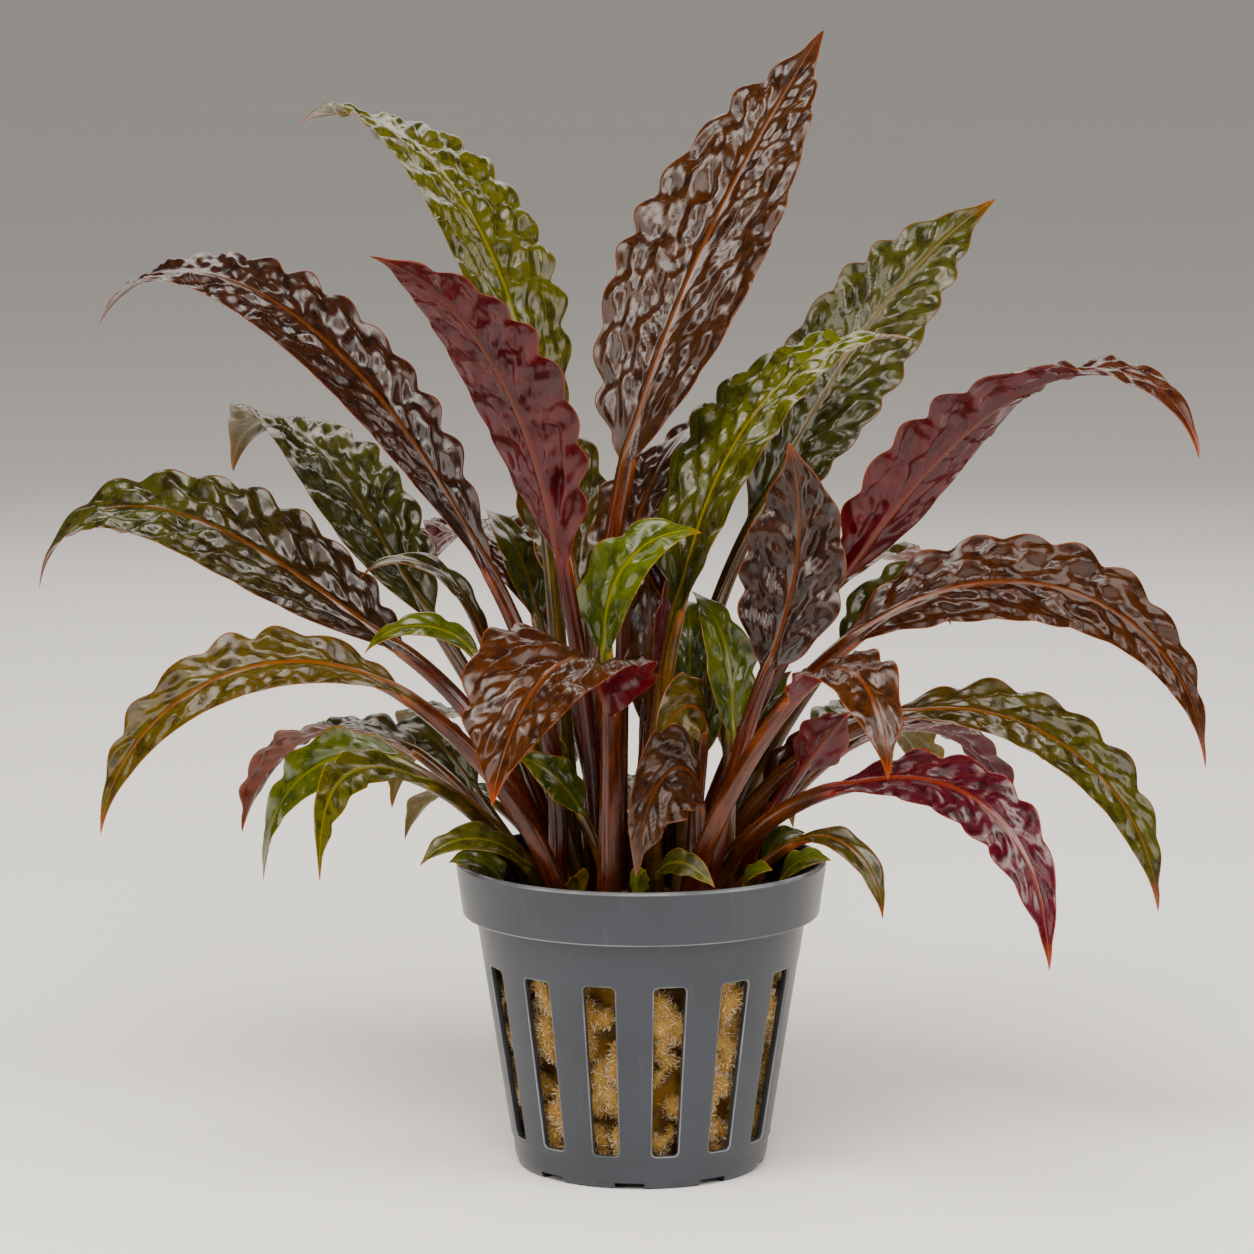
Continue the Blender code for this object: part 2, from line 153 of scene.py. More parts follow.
def slot_loop(grow):
    """A slot's rounded outline as (sideways, height) points, made larger all round by a margin."""
    corner = SLOT_CORNER + grow
    foot = SLOT_FOOT_WIDTH / 2 + grow - corner
    top = SLOT_TOP_WIDTH / 2 + grow - corner
    low = SLOT_FOOT - grow + corner
    high = SLOT_TOP + grow - corner
    centres = [(-foot, low), (foot, low), (top, high), (-top, high)]
    loop = []
    for edge, steps in enumerate((STEPS_ACROSS, STEPS_UP, STEPS_ACROSS, STEPS_UP)):
        here, there = centres[edge], centres[(edge + 1) % 4]
        middle = 270 + 90 * edge
        loop += arc(here, corner, middle - 45, middle, CORNER_STEPS)[:-1]
        first, last = arc(here, corner, middle, middle, 1)[0], arc(there, corner, middle, middle, 1)[0]
        straight = steps - 2 * CORNER_STEPS
        for step in range(straight):
            share = step / straight
            loop.append(tuple(a + (b - a) * share for a, b in zip(first, last)))
        loop += arc(there, corner, middle, middle + 45, CORNER_STEPS)[:-1]
    return loop


def on_wall(side, height, bearing, depth):
    """The point of the wall that lies sideways of a bearing, at a height and a depth under the face."""
    radius = body_radius(height)
    turn = radians(bearing - 90) + side / radius
    return Vector(((radius - depth) * cos(turn), (radius - depth) * sin(turn), height))


def border_loop():
    """The edge of one slot's share of the wall, matched point by point to the slot's outline."""
    low, high = BODY_FOOT_HEIGHT, SLOT_BORDER_TOP
    reach = pi / SLOTS
    corners = [(-1, low), (1, low), (1, high), (-1, high)]
    loop = []
    for edge, steps in enumerate((STEPS_ACROSS, STEPS_UP, STEPS_ACROSS, STEPS_UP)):
        here, there = corners[edge], corners[(edge + 1) % 4]
        for step in range(steps):
            side, height = (a + (b - a) * step / steps for a, b in zip(here, there))
            loop.append((side * reach * body_radius(height), height))
    return loop


def mixed(first, second, share):
    """A loop of points part of the way from one loop to another."""
    return [tuple(a + (b - a) * share for a, b in zip(p, q)) for p, q in zip(first, second)]


def add_band(bm, rows):
    """Faces between rings of corners that close on themselves."""
    for low, high in zip(rows, rows[1:]):
        for number in range(len(low)):
            after = (number + 1) % len(low)
            bm.faces.new((low[number], low[after], high[after], high[number]))


def add_box(bm, start, end, foot, top, width, bearing):
    """A box from start to end along its bearing."""
    made = bmesh.ops.create_cube(bm, size=1.0)["verts"]
    for vert in made:
        vert.co.x = end if vert.co.x > 0 else start
        vert.co.y *= width
        vert.co.z = top if vert.co.z > 0 else foot
    bmesh.ops.rotate(bm, verts=made, matrix=Matrix.Rotation(radians(bearing - 90), 3, "Z"))


def add_object(name, data):
    """A new object in the scene."""
    obj = bpy.data.objects.new(name, data)
    bpy.context.scene.collection.objects.link(obj)
    return obj


def new_object(name, bm):
    """An object from a bmesh in millimetres."""
    bmesh.ops.scale(bm, vec=(MM, MM, MM), verts=bm.verts)
    mesh = bpy.data.meshes.new(name)
    bm.to_mesh(mesh)
    bm.free()
    return add_object(name, mesh)


def settle(obj):
    """Makes a plain mesh of an object and its modifiers."""
    depsgraph = bpy.context.evaluated_depsgraph_get()
    mesh = bpy.data.meshes.new_from_object(obj.evaluated_get(depsgraph))
    obj.modifiers.clear()
    obj.data = mesh


def mark_painted_rim_light(bm, painted_edge_light):
    """Marks the crest of the lip and the band's lower edge for a painted highlight line."""
    for vert in bm.verts:
        radius = vert.co.xy.length
        if vert.co.z > RIM_HEIGHT - LIP_ROUND * CREST_SHARE and radius > RIM_RADIUS - LIP_ROUND:
            vert[painted_edge_light] = 1
        elif vert.co.z < BAND_FOOT_HEIGHT + BAND_ROUND / 2 and radius > BAND_FOOT_RADIUS - BAND_ROUND / 2:
            vert[painted_edge_light] = BAND_PAINTED_LIGHT


def add_slots(bm, painted_edge_light):
    """The wall's slots, each with its rounded edge and its share of the wall on both faces."""
    cut = SLOT_EDGE * (1 - 0.5 ** 0.5)
    for number in range(SLOTS):
        bearing = FIRST_SLOT + 360 / SLOTS * number
        border, edge = border_loop(), slot_loop(SLOT_EDGE)
        outer = [mixed(border, edge, share) for share in BORDER_TO_SLOT]
        through = [(slot_loop(cut), cut), (slot_loop(0), SLOT_EDGE), (slot_loop(0), WALL - SLOT_EDGE)]
        rings = [(loop, 0) for loop in outer] + through + [(loop, WALL) for loop in reversed(outer)]
        rows = []
        for loop, depth in rings:
            rows.append([bm.verts.new(on_wall(side, height, bearing, depth)) for side, height in loop])
        # The middle of each slot's rounded edge is marked for the painted highlight line.
        for vert in rows[len(outer)]:
            vert[painted_edge_light] = 1
        add_band(bm, rows)


def add_turned(bm):
    """The rim above the slots and the foot below them, turned round the pot's axis."""
    columns = SLOTS * STEPS_ACROSS
    first = radians(FIRST_SLOT - 90) - TURN * 0.5 / SLOTS
    turns = [first + TURN * number / columns for number in range(columns)]
    for profile in (band_profile(), foot_profile()):
        rows = []
        for radius, height in profile:
            ring = [(radius * cos(turn), radius * sin(turn), height) for turn in turns]
            rows.append([bm.verts.new(point) for point in ring])
        add_band(bm, rows)


def foot_cutter():
    """Boxes that open the foot ring's notches and the floor's drains."""
    bm = bmesh.new()
    for number in range(NOTCHES):
        bearing = FIRST_NOTCH + 360 / NOTCHES * number
        start = FOOT_CURVE[-1][0] - NOTCH_DEPTH
        add_box(bm, start, RIM_RADIUS, -CUT_PAST, NOTCH_HEIGHT, NOTCH_WIDTH, bearing)
    for number in range(DRAINS):
        bearing = 360 / DRAINS * number
        add_box(bm, DRAIN_START, DRAIN_END, -CUT_PAST, FLOOR + CUT_PAST, DRAIN_WIDTH, bearing)
    return new_object("foot_cutter", bm)


def make_pot():
    bm = bmesh.new()
    painted_edge_light = bm.verts.layers.float.new("painted_edge_light")
    add_slots(bm, painted_edge_light)
    add_turned(bm)
    mark_painted_rim_light(bm, painted_edge_light)
    bmesh.ops.remove_doubles(bm, verts=bm.verts, dist=WELD)
    bmesh.ops.recalc_face_normals(bm, faces=bm.faces)
    pot = new_object("net_pot", bm)
    cutter = foot_cutter()
    boolean = pot.modifiers.new("cut", "BOOLEAN")
    boolean.operation = "DIFFERENCE"
    boolean.solver = "EXACT"
    boolean.object = cutter
    settle(pot)
    bpy.data.objects.remove(cutter)
    pot.data.shade_smooth()
    pot.data.set_sharp_from_angle(angle=radians(CREASE))
    pot.modifiers.new("even_shading", "WEIGHTED_NORMAL").keep_sharp = True
    settle(pot)
    return pot


def set_inputs(tree, node, inputs):
    """Sets each named input of a node, or links it."""
    for name, value in inputs.items():
        if isinstance(value, bpy.types.NodeSocket):
            tree.links.new(value, node.inputs[name])
        else:
            node.inputs[name].default_value = value


def add_node(tree, kind, inputs=None, **settings):
    """A node with its settings, and its inputs set or linked."""
    made = tree.nodes.new(kind)
    for name, value in settings.items():
        setattr(made, name, value)
    set_inputs(tree, made, inputs or {})
    return made


def blend(tree, share, first, second):
    """One colour going over into another."""
    first, second = ((*value, 1) if isinstance(value, tuple) else value for value in (first, second))
    return add_node(tree, "ShaderNodeMix", {0: share, 6: first, 7: second}, data_type="RGBA").outputs[2]


def step_up(tree, value, low, high, start=0.0, end=1.0):
    """A smooth rise from start to end as a value goes from low to high."""
    settings = {"Value": value, "From Min": low, "From Max": high, "To Min": start, "To Max": end}
    return add_node(tree, "ShaderNodeMapRange", settings, interpolation_type="SMOOTHSTEP").outputs[0]


def maths(tree, operation, first, second=0.0, third=0.0):
    """One sum on values or sockets."""
    made = add_node(tree, "ShaderNodeMath", {0: first, 1: second, 2: third}, operation=operation)
    return made.outputs[0]


def grain(tree, vector, scale, detail=2.0, roughness=0.5, distortion=0.0):
    """Noise between 0 and 1 on a vector."""
    settings = {"Vector": vector, "Scale": scale, "Detail": detail}
    settings.update({"Roughness": roughness, "Distortion": distortion})
    return add_node(tree, "ShaderNodeTexNoise", settings).outputs["Fac"]


def raised(tree, height, strength, distance):
    """A surface normal bent by a height, for relief too fine for the mesh."""
    settings = {"Height": height, "Strength": strength, "Distance": distance}
    return add_node(tree, "ShaderNodeBump", settings).outputs[0]


def object_place(tree):
    """Where a point lies in the object."""
    return add_node(tree, "ShaderNodeTexCoord").outputs["Object"]


def own_value(tree, name):
    """A value that the mesh carries at each corner."""
    return add_node(tree, "ShaderNodeAttribute", attribute_name=name).outputs["Fac"]


def new_material(name):
    """A material, its tree and its shader."""
    mat = bpy.data.materials.new(name)
    mat.use_nodes = True
    return mat, mat.node_tree, mat.node_tree.nodes["Principled BSDF"]


def pot_plastic():
    """Satin grey plastic: even, with a fine moulded grain, a few handling scuffs and a painted highlight
    along the marked edges.
    """
    mat, tree, shader = new_material("grey_moulded_plastic")
    place = object_place(tree)
    cloud = grain(tree, place, 60, 3)
    fine = grain(tree, place, 2600, 2)
    drawn = add_node(tree, "ShaderNodeMapping", {"Vector": place, "Scale": (1, 1, 0.12)}).outputs[0]
    scuffs = step_up(tree, grain(tree, drawn, 700, 4, 0.6), 0.60, 0.72)
    light = tuple(channel * 1.13 for channel in POT_GREY)
    dark = tuple(channel * 0.90 for channel in POT_GREY)
    colour = blend(tree, step_up(tree, cloud, 0.35, 0.65), dark, light)
    colour = blend(tree, maths(tree, "MULTIPLY", scuffs, 0.05), colour, SCUFFED_GREY)
    # Painted highlight: the marked edges turn a patchy paler grey, and they are also made smoother.
    painted_edge_light = own_value(tree, "painted_edge_light")
    uneven = step_up(tree, grain(tree, place, 110, 2), 0.3, 0.7, 0.25, 0.85)
    painted_highlight = maths(tree, "MULTIPLY", step_up(tree, painted_edge_light, 0.1, 0.9), uneven)
    colour = blend(tree, painted_highlight, colour, PAINTED_HIGHLIGHT_GREY)
    rough = maths(tree, "MULTIPLY_ADD", scuffs, 0.08, step_up(tree, cloud, 0.3, 0.7, 0.30, 0.38))
    rough = maths(tree, "MULTIPLY_ADD", painted_edge_light, -0.16, rough)
    grained = raised(tree, fine, 0.06, 0.0002)
    looks = {"Base Color": colour, "Roughness": rough, "Specular IOR Level": 0.4, "Normal": grained}
    set_inputs(tree, shader, looks)
    return mat


net_pot = make_pot()
net_pot.data.materials.append(pot_plastic())
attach(net_pot, "root")
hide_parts("pot")


# The growing wool
# A plug of golden mineral wool packed round the roots. It bulges towards the slots in soft lobes
# with a short, pale, curly pile, and between them lie deep, smooth, darker folds.
GAP = 0.3
WOOL_FOOT = FLOOR + GAP
WOOL_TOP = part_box("wool")[1].z / MM
WOOL_CROWN = WOOL_TOP + 0.7
WOOL_SIDES = 330
WOOL_RINGS = 84
WOOL_TOP_RINGS = 36
WOOL_CLEARANCE = 0.25
FOLD_DEPTH = 2.6
LOBES_AROUND = 18
LOBE_ROWS = 5
LOBE_HALF_WIDTH = 2.5
LOBE_HALF_HEIGHT = 4.0
LOBE_STRAY = 0.3
CROWN_LUMP = 6.5
KNOBBLE = 0.3
KNOBBLE_SIZE = 3.2
ROW_WANDER = 1.1
TURN_WANDER = 0.055
SHOULDER = 1.0
CROWN_SWELLING = 1.1
CROWN_KNOBBLE = 0.35
CROWN_PILE = 0.6
RUMPLE_WAVES = 16
GOLD = ((0.24, 0.125, 0.020), (0.33, 0.195, 0.045))
AMBER = ((0.07, 0.030, 0.002), (0.20, 0.095, 0.004))


def smooth(value, low, high):
    """A smooth rise from 0 to 1 as a value goes from low to high."""
    share = np.clip((value - low) / (high - low), 0, 1)
    return share * share * (3 - 2 * share)


def rumple(place, sizes, seed):
    """A smooth rumple about zero: waves in all directions, of one size along each axis."""
    rng = np.random.default_rng(seed)
    total = np.zeros(place.shape[:-1])
    for _ in range(RUMPLE_WAVES):
        way = rng.normal(size=len(sizes))
        way *= TURN * rng.uniform(0.65, 1.45) / np.linalg.norm(way)
        total += np.sin(place @ (way / np.array(sizes)) + rng.uniform(0, TURN))
    return total / (RUMPLE_WAVES / 2) ** 0.5


def inner_radius(height):
    """The inside of the pot's body."""
    return body_radius(height) - WALL


def side_lobes(place, turns):
    """How far the plug's side swells: nothing in the folds, 1 on the crown of each round lobe."""
    rng = np.random.default_rng(5)
    height = place[..., 2] + ROW_WANDER * rumple(place, (6, 6, 6), 21)
    around = turns + TURN_WANDER * rumple(place, (5, 5, 5), 22)
    step = (WOOL_TOP - WOOL_FOOT) / LOBE_ROWS
    swelling = np.zeros(height.shape)
    for row in range(LOBE_ROWS):
        middle = WOOL_FOOT + step * (row + 0.5)
        for number in range(LOBES_AROUND):
            stray, lift = rng.uniform(-LOBE_STRAY, LOBE_STRAY, 2)
            growth = rng.uniform(0.75, 1.3)
            turn = TURN * (number + 0.5 * (row % 2) + stray) / LOBES_AROUND
            sideways = ((around - turn + pi) % TURN - pi) * inner_radius(middle)
            upward = height - middle - lift * step
            distance = (sideways / LOBE_HALF_WIDTH) ** 2 + (upward / LOBE_HALF_HEIGHT) ** 2
            swelling = np.maximum(swelling, np.sqrt(np.clip(1 - distance / growth, 0, 1)))
    return swelling


def skin_mesh(name, rings, first_end, last_end):
    """A closed skin over rings of points in millimetres, with a point at either end."""
    count, around = rings.shape[:2]
    here = np.arange(around)
    there = (here + 1) % around
    low = np.arange(count - 1)[:, None] * around
    high = low + around
    faces = np.stack([low + here, low + there, high + there, high + here], -1).reshape(-1, 4).tolist()
    first, last = count * around, (count - 1) * around
    for before, after in zip(here.tolist(), there.tolist()):
        faces += [(first, after, before), (first + 1, last + before, last + after)]
    points = np.vstack([rings.reshape(-1, 3), [first_end], [last_end]])
    mesh = bpy.data.meshes.new(name)
    mesh.from_pydata((points * MM).tolist(), [], faces)
    mesh.shade_smooth()
    return mesh


def carry_value(mesh, name, values):
    """Gives a mesh one value at each corner, for its material or its fibres."""
    mesh.attributes.new(name, "FLOAT", "POINT").data.foreach_set("value", values)


def make_wool():
    """The plug's skin, with how much pile stands on each corner of it."""
    turns = np.arange(WOOL_SIDES) * TURN / WOOL_SIDES
    heights = np.linspace(WOOL_FOOT, WOOL_TOP - SHOULDER, WOOL_RINGS)
    side = inner_radius(heights)[:, None] * np.ones(WOOL_SIDES)
    level = heights[:, None] * np.ones(WOOL_SIDES)
    reach = np.linspace(1, 0, WOOL_TOP_RINGS + 1)[1:-1]
    over = np.sqrt(1 - reach ** 4)
    side = np.vstack([side, side[-1] * reach[:, None]])
    level = np.vstack([level, level[-1] + (WOOL_CROWN - level[-1]) * over[:, None]])
    place = np.stack([side * np.cos(turns), side * np.sin(turns), level], -1)

    on_side = np.arange(len(side))[:, None] < WOOL_RINGS
    crown = smooth(np.abs(rumple(place, (CROWN_LUMP, CROWN_LUMP, CROWN_LUMP), 5)), 0.25, 0.90)
    lobes = np.where(on_side, side_lobes(place, turns), crown)
    knobbles = rumple(place, (KNOBBLE_SIZE, KNOBBLE_SIZE, KNOBBLE_SIZE), 11)
    dent = WOOL_CLEARANCE + FOLD_DEPTH * (1 - lobes) + KNOBBLE * smooth(knobbles, 1.2, -1.2)
    pushed = np.where(on_side, dent, 0)
    place[..., 0] -= pushed * np.cos(turns)
    place[..., 1] -= pushed * np.sin(turns)
    place[..., 2] += np.where(on_side, 0, CROWN_SWELLING * (lobes - 0.5) + CROWN_KNOBBLE * knobbles)
    mesh = skin_mesh("wool_plug", place, (0, 0, WOOL_FOOT), (0, 0, WOOL_CROWN))
    pile = np.where(on_side, lobes, CROWN_PILE * lobes)
    carry_value(mesh, "pile", [*pile.ravel(), 0, 0.5])
    return add_object("wool_plug", mesh)


def wool_finish():
    """Golden wool, darker and smoother in its folds."""
    mat, tree, shader = new_material("golden_wool")
    place = object_place(tree)
    pile = own_value(tree, "pile")
    cloud = grain(tree, place, 260, 3)
    gold = blend(tree, step_up(tree, cloud, 0.35, 0.65), *GOLD)
    amber = blend(tree, step_up(tree, cloud, 0.38, 0.62), *AMBER)
    colour = blend(tree, step_up(tree, pile, 0.05, 0.45), amber, gold)
    rough = step_up(tree, pile, 0.10, 0.60, 0.42, 0.80)
    woolly = raised(tree, grain(tree, place, 1500, 4, 0.7), 0.6, 0.0004)
    looks = {"Base Color": colour, "Roughness": rough, "Specular IOR Level": 0.15, "Normal": woolly}
    looks.update({"Subsurface Weight": 0.15, "Subsurface Radius": (0.002, 0.001, 0.0005)})
    set_inputs(tree, shader, looks)
    return mat


wool_plug = make_wool()
wool_plug.data.materials.append(wool_finish())


# The wool's pile
# The short curly fibres that stand on the lobes: pale, 0.06 mm thick and about half a millimetre
# long. They are scattered over the plug's skin, closest where it comes to the slots, and the pile
# is made in six sectors.
FIBRE_DENSITY = 9.5
FIBRE_LENGTH = 0.62
FIBRE_THICKNESS = 0.06
FIBRE_BEND = 0.7
FIBRE_TILT = 55.0
FIBRE_SIZES = (0.6, 1.15)
FIBRE_GOLD = (0.44, 0.29, 0.10)
FIBRE_PALE = (0.85, 0.76, 0.56)
PILE_PIECES = 6
PILE_SEED = 4


def pile_tree(mat):
    """Geometry Nodes that stand bent fibres on a surface, as its pile attribute allows."""
    tree = bpy.data.node_groups.new("wool_pile", "GeometryNodeTree")
    sockets = {}
    tree.interface.new_socket("Skin", in_out="INPUT", socket_type="NodeSocketGeometry")
    kinds = dict.fromkeys(("Density", "Length", "Thickness", "Bend", "Tilt"), "NodeSocketFloat")
    for name, kind in {**kinds, "Seed": "NodeSocketInt"}.items():
        sockets[name] = tree.interface.new_socket(name, in_out="INPUT", socket_type=kind).identifier
    tree.interface.new_socket("Fibres", in_out="OUTPUT", socket_type="NodeSocketGeometry")
    given = add_node(tree, "NodeGroupInput").outputs
    pile = add_node(tree, "GeometryNodeInputNamedAttribute", {"Name": "pile"}, data_type="FLOAT").outputs[0]
    cover = step_up(tree, pile, 0.15, 0.6)
    density = maths(tree, "MULTIPLY", given["Density"], cover)
    scatter = {"Mesh": given["Skin"], "Density": density, "Seed": given["Seed"]}
    points = add_node(tree, "GeometryNodeDistributePointsOnFaces", scatter, distribute_method="RANDOM")

    half = maths(tree, "MULTIPLY", given["Length"], 0.5)
    middle = add_node(tree, "ShaderNodeCombineXYZ", {"Z": half}).outputs[0]
    lean = maths(tree, "MULTIPLY", given["Length"], given["Bend"])
    end = add_node(tree, "ShaderNodeCombineXYZ", {"X": lean, "Z": given["Length"]}).outputs[0]
    bow = {"Resolution": 3, "Start": (0, 0, 0), "Middle": middle, "End": end}
    curve = add_node(tree, "GeometryNodeCurveQuadraticBezier", bow).outputs[0]
    radius = maths(tree, "MULTIPLY", given["Thickness"], 0.5)
    circle = {"Resolution": 3, "Radius": radius}
    section = add_node(tree, "GeometryNodeCurvePrimitiveCircle", circle).outputs[0]
    tube = {"Curve": curve, "Profile Curve": section, "Fill Caps": True}
    fibre = add_node(tree, "GeometryNodeCurveToMesh", tube).outputs[0]

    turn = {"Rotation": points.outputs["Rotation"]}
    any_way = {"Min": (0, 0, 0), "Max": (0, 0, TURN)}
    spin = add_node(tree, "FunctionNodeRandomValue", any_way, data_type="FLOAT_VECTOR")
    spun = {**turn, "Rotate By": spin.outputs[0]}
    spun = add_node(tree, "FunctionNodeRotateRotation", spun, rotation_space="LOCAL")
    back = maths(tree, "MULTIPLY", given["Tilt"], -1.0)
    tip_low = add_node(tree, "ShaderNodeCombineXYZ", {"X": back}).outputs[0]
    tip_high = add_node(tree, "ShaderNodeCombineXYZ", {"X": given["Tilt"]}).outputs[0]
    leaning = {"Min": tip_low, "Max": tip_high, "Seed": 3}
    tip = add_node(tree, "FunctionNodeRandomValue", leaning, data_type="FLOAT_VECTOR")
    tipped = {"Rotation": spun.outputs[0], "Rotate By": tip.outputs[0]}
    tilted = add_node(tree, "FunctionNodeRotateRotation", tipped, rotation_space="LOCAL")
    sizes = {2: FIBRE_SIZES[0], 3: FIBRE_SIZES[1], "Seed": 7}
    size = add_node(tree, "FunctionNodeRandomValue", sizes, data_type="FLOAT").outputs[1]
    standing = {"Points": points.outputs["Points"], "Instance": fibre}
    standing.update({"Rotation": tilted.outputs[0], "Scale": size})
    instances = add_node(tree, "GeometryNodeInstanceOnPoints", standing).outputs[0]
    shades = {2: 0.0, 3: 1.0, "Seed": 9}
    shade = add_node(tree, "FunctionNodeRandomValue", shades, data_type="FLOAT").outputs[1]
    shaded = {"Geometry": instances, "Name": "shade", "Value": shade}
    stored = add_node(tree, "GeometryNodeStoreNamedAttribute", shaded, data_type="FLOAT", domain="INSTANCE")
    real = add_node(tree, "GeometryNodeRealizeInstances", {"Geometry": stored.outputs[0]}).outputs[0]
    dyed = add_node(tree, "GeometryNodeSetMaterial", {"Geometry": real, "Material": mat}).outputs[0]
    add_node(tree, "NodeGroupOutput", {"Fibres": dyed})
    return tree, sockets


def fibre_finish():
    """Pale tan fibres, some of them golden."""
    mat, tree, shader = new_material("wool_fibre")
    colour = blend(tree, step_up(tree, own_value(tree, "shade"), 0.35, 0.95), FIBRE_GOLD, FIBRE_PALE)
    set_inputs(tree, shader, {"Base Color": colour, "Roughness": 0.45})
    return mat


def plug_sector(number):
    """The plug's skin within one share of a turn."""
    bm = bmesh.new()
    bm.from_mesh(wool_plug.data)
    others = []
    for face in bm.faces:
        middle = face.calc_center_median()
        turn = np.arctan2(middle.y, middle.x) % TURN
        if int(turn / TURN * PILE_PIECES) != number:
            others.append(face)
    bmesh.ops.delete(bm, geom=others, context="FACES")
    mesh = bpy.data.meshes.new(f"wool_pile_{number + 1}")
    bm.to_mesh(mesh)
    bm.free()
    return mesh


def make_pile(number, tree, sockets):
    """The fibres of one sector of the plug as a plain mesh."""
    mesh = plug_sector(number)
    fibres = add_object(mesh.name, mesh)
    modifier = fibres.modifiers.new("pile", "NODES")
    modifier.node_group = tree
    per_square_metre = FIBRE_DENSITY / MM ** 2
    values = (per_square_metre, FIBRE_LENGTH * MM, FIBRE_THICKNESS * MM, FIBRE_BEND, radians(FIBRE_TILT))
    for name, value in zip(("Density", "Length", "Thickness", "Bend", "Tilt"), values):
        modifier[sockets[name]] = value
    modifier[sockets["Seed"]] = PILE_SEED + number
    settle(fibres)
    fibres.data.shade_smooth()
    return fibres


pile_nodes, pile_sockets = pile_tree(fibre_finish())
wool_pile = [make_pile(number, pile_nodes, pile_sockets) for number in range(PILE_PIECES)]
for piece in (wool_plug, *wool_pile):
    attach(piece, "root")
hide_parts("wool")


# The leaves
# Each leaf is one growth: a fleshy stalk from the crown, running on as the midrib of a long wavy
# blade. The blade is puckered between its side veins, glossy above, satin and often wine red
# beneath, with a thin orange margin and a drawn-out orange tip that curls under.
FOOT_HEIGHT = WOOL_TOP + GAP
STALK_TAPER = 0.25
RIB_TAPER = 0.6
RIB_ABOVE = 0.24
RIB_ABOVE_WIDTH = 0.45
WAVE_LENGTH = 6.8
WAVE_HEIGHT = 0.65
WAVE_REACH = 2.4
WAVE_OUT = 0.72
NOTCH_SOFTNESS = 0.045
BLADE_FULLNESS = 0.80
BLADE_ROUNDNESS = 0.88
TIP_DRAWN_OUT = 0.35
WAVE_WANDER = 0.45
FULL_WAVE_HALF_WIDTH = 5.0
FOLD = 12.0
FEWEST_BLADE_WAVES = 6
WANDER_TURNS = 2.6
RIGHT_LOBE_TURNS = 3.1
LEFT_LOBE_TURNS = 2.7
LOBE_SIZE = 0.8
LOBE_CHANGE = 0.3
SWAY_GATHERS = 1.5
ROLL_START = 0.3
ROLL_REACH = 0.15
PATH_STEPS = 640
BLADE_STEP = 0.42
STALK_STEP = 1.1
BASE_START = 0.94
BASE_ROWS = 8
ACROSS_STEP = 0.46
FEWEST_ACROSS = 16
CENTRE_CROWDING = 0.35
MARGIN_STRIP = 0.16
WIDEST_STRIP = 0.12
SHEET = 0.15
FLUTES = 9
FLUTE_DEPTH = 0.035
VEIN_SPACING = 4.2
VEIN_SPACING_BY_WIDTH = 0.15
LEFT_VEIN_SHIFT = 0.43
VEIN_SLANT = 2.1
VEIN_BOW = 0.12
PUCKER_DEPTH = 0.56
PUCKER_ALONG = 6.0
PUCKER_ACROSS = 4.4
PUCKER_FINE = 0.42
CELL_WANDER = 0.10
CELL_SHARE = 0.55
COARSE_SHARE = 0.60
FINE_SHARE = 0.22
LEAF_DEPTH = 0.36
LEAF_RICHNESS = 1.30
BENEATH_LIGHTER = 1.5
BENEATH_DARKER = 0.45
STALK_DARKER = 0.36
LEAF_VALUES = ("place", "face", "vein", "edge", "rib", "along", "across")
LEAF_SEED = 100
SHOOT_SEED = 300


@dataclass
class Leaf:
    """One leaf, from its foot on the wool to its tip.

    heading is the way it grows (from +X towards +Y), and lean its tilt from upright at the foot, at
    the blade's base and at the tip. A curl above 1 keeps the bend for the tip. sway turns the
    heading along the leaf, roll turns the blade about its midrib, and twist turns it further
    towards the tip.
    """

    name: str
    foot: tuple
    heading: float
    lean: tuple
    curl: float
    stalk: float
    blade: float
    width: float
    sway: float
    roll: float
    thick: float
    finish: str
    twist: float = 0.0
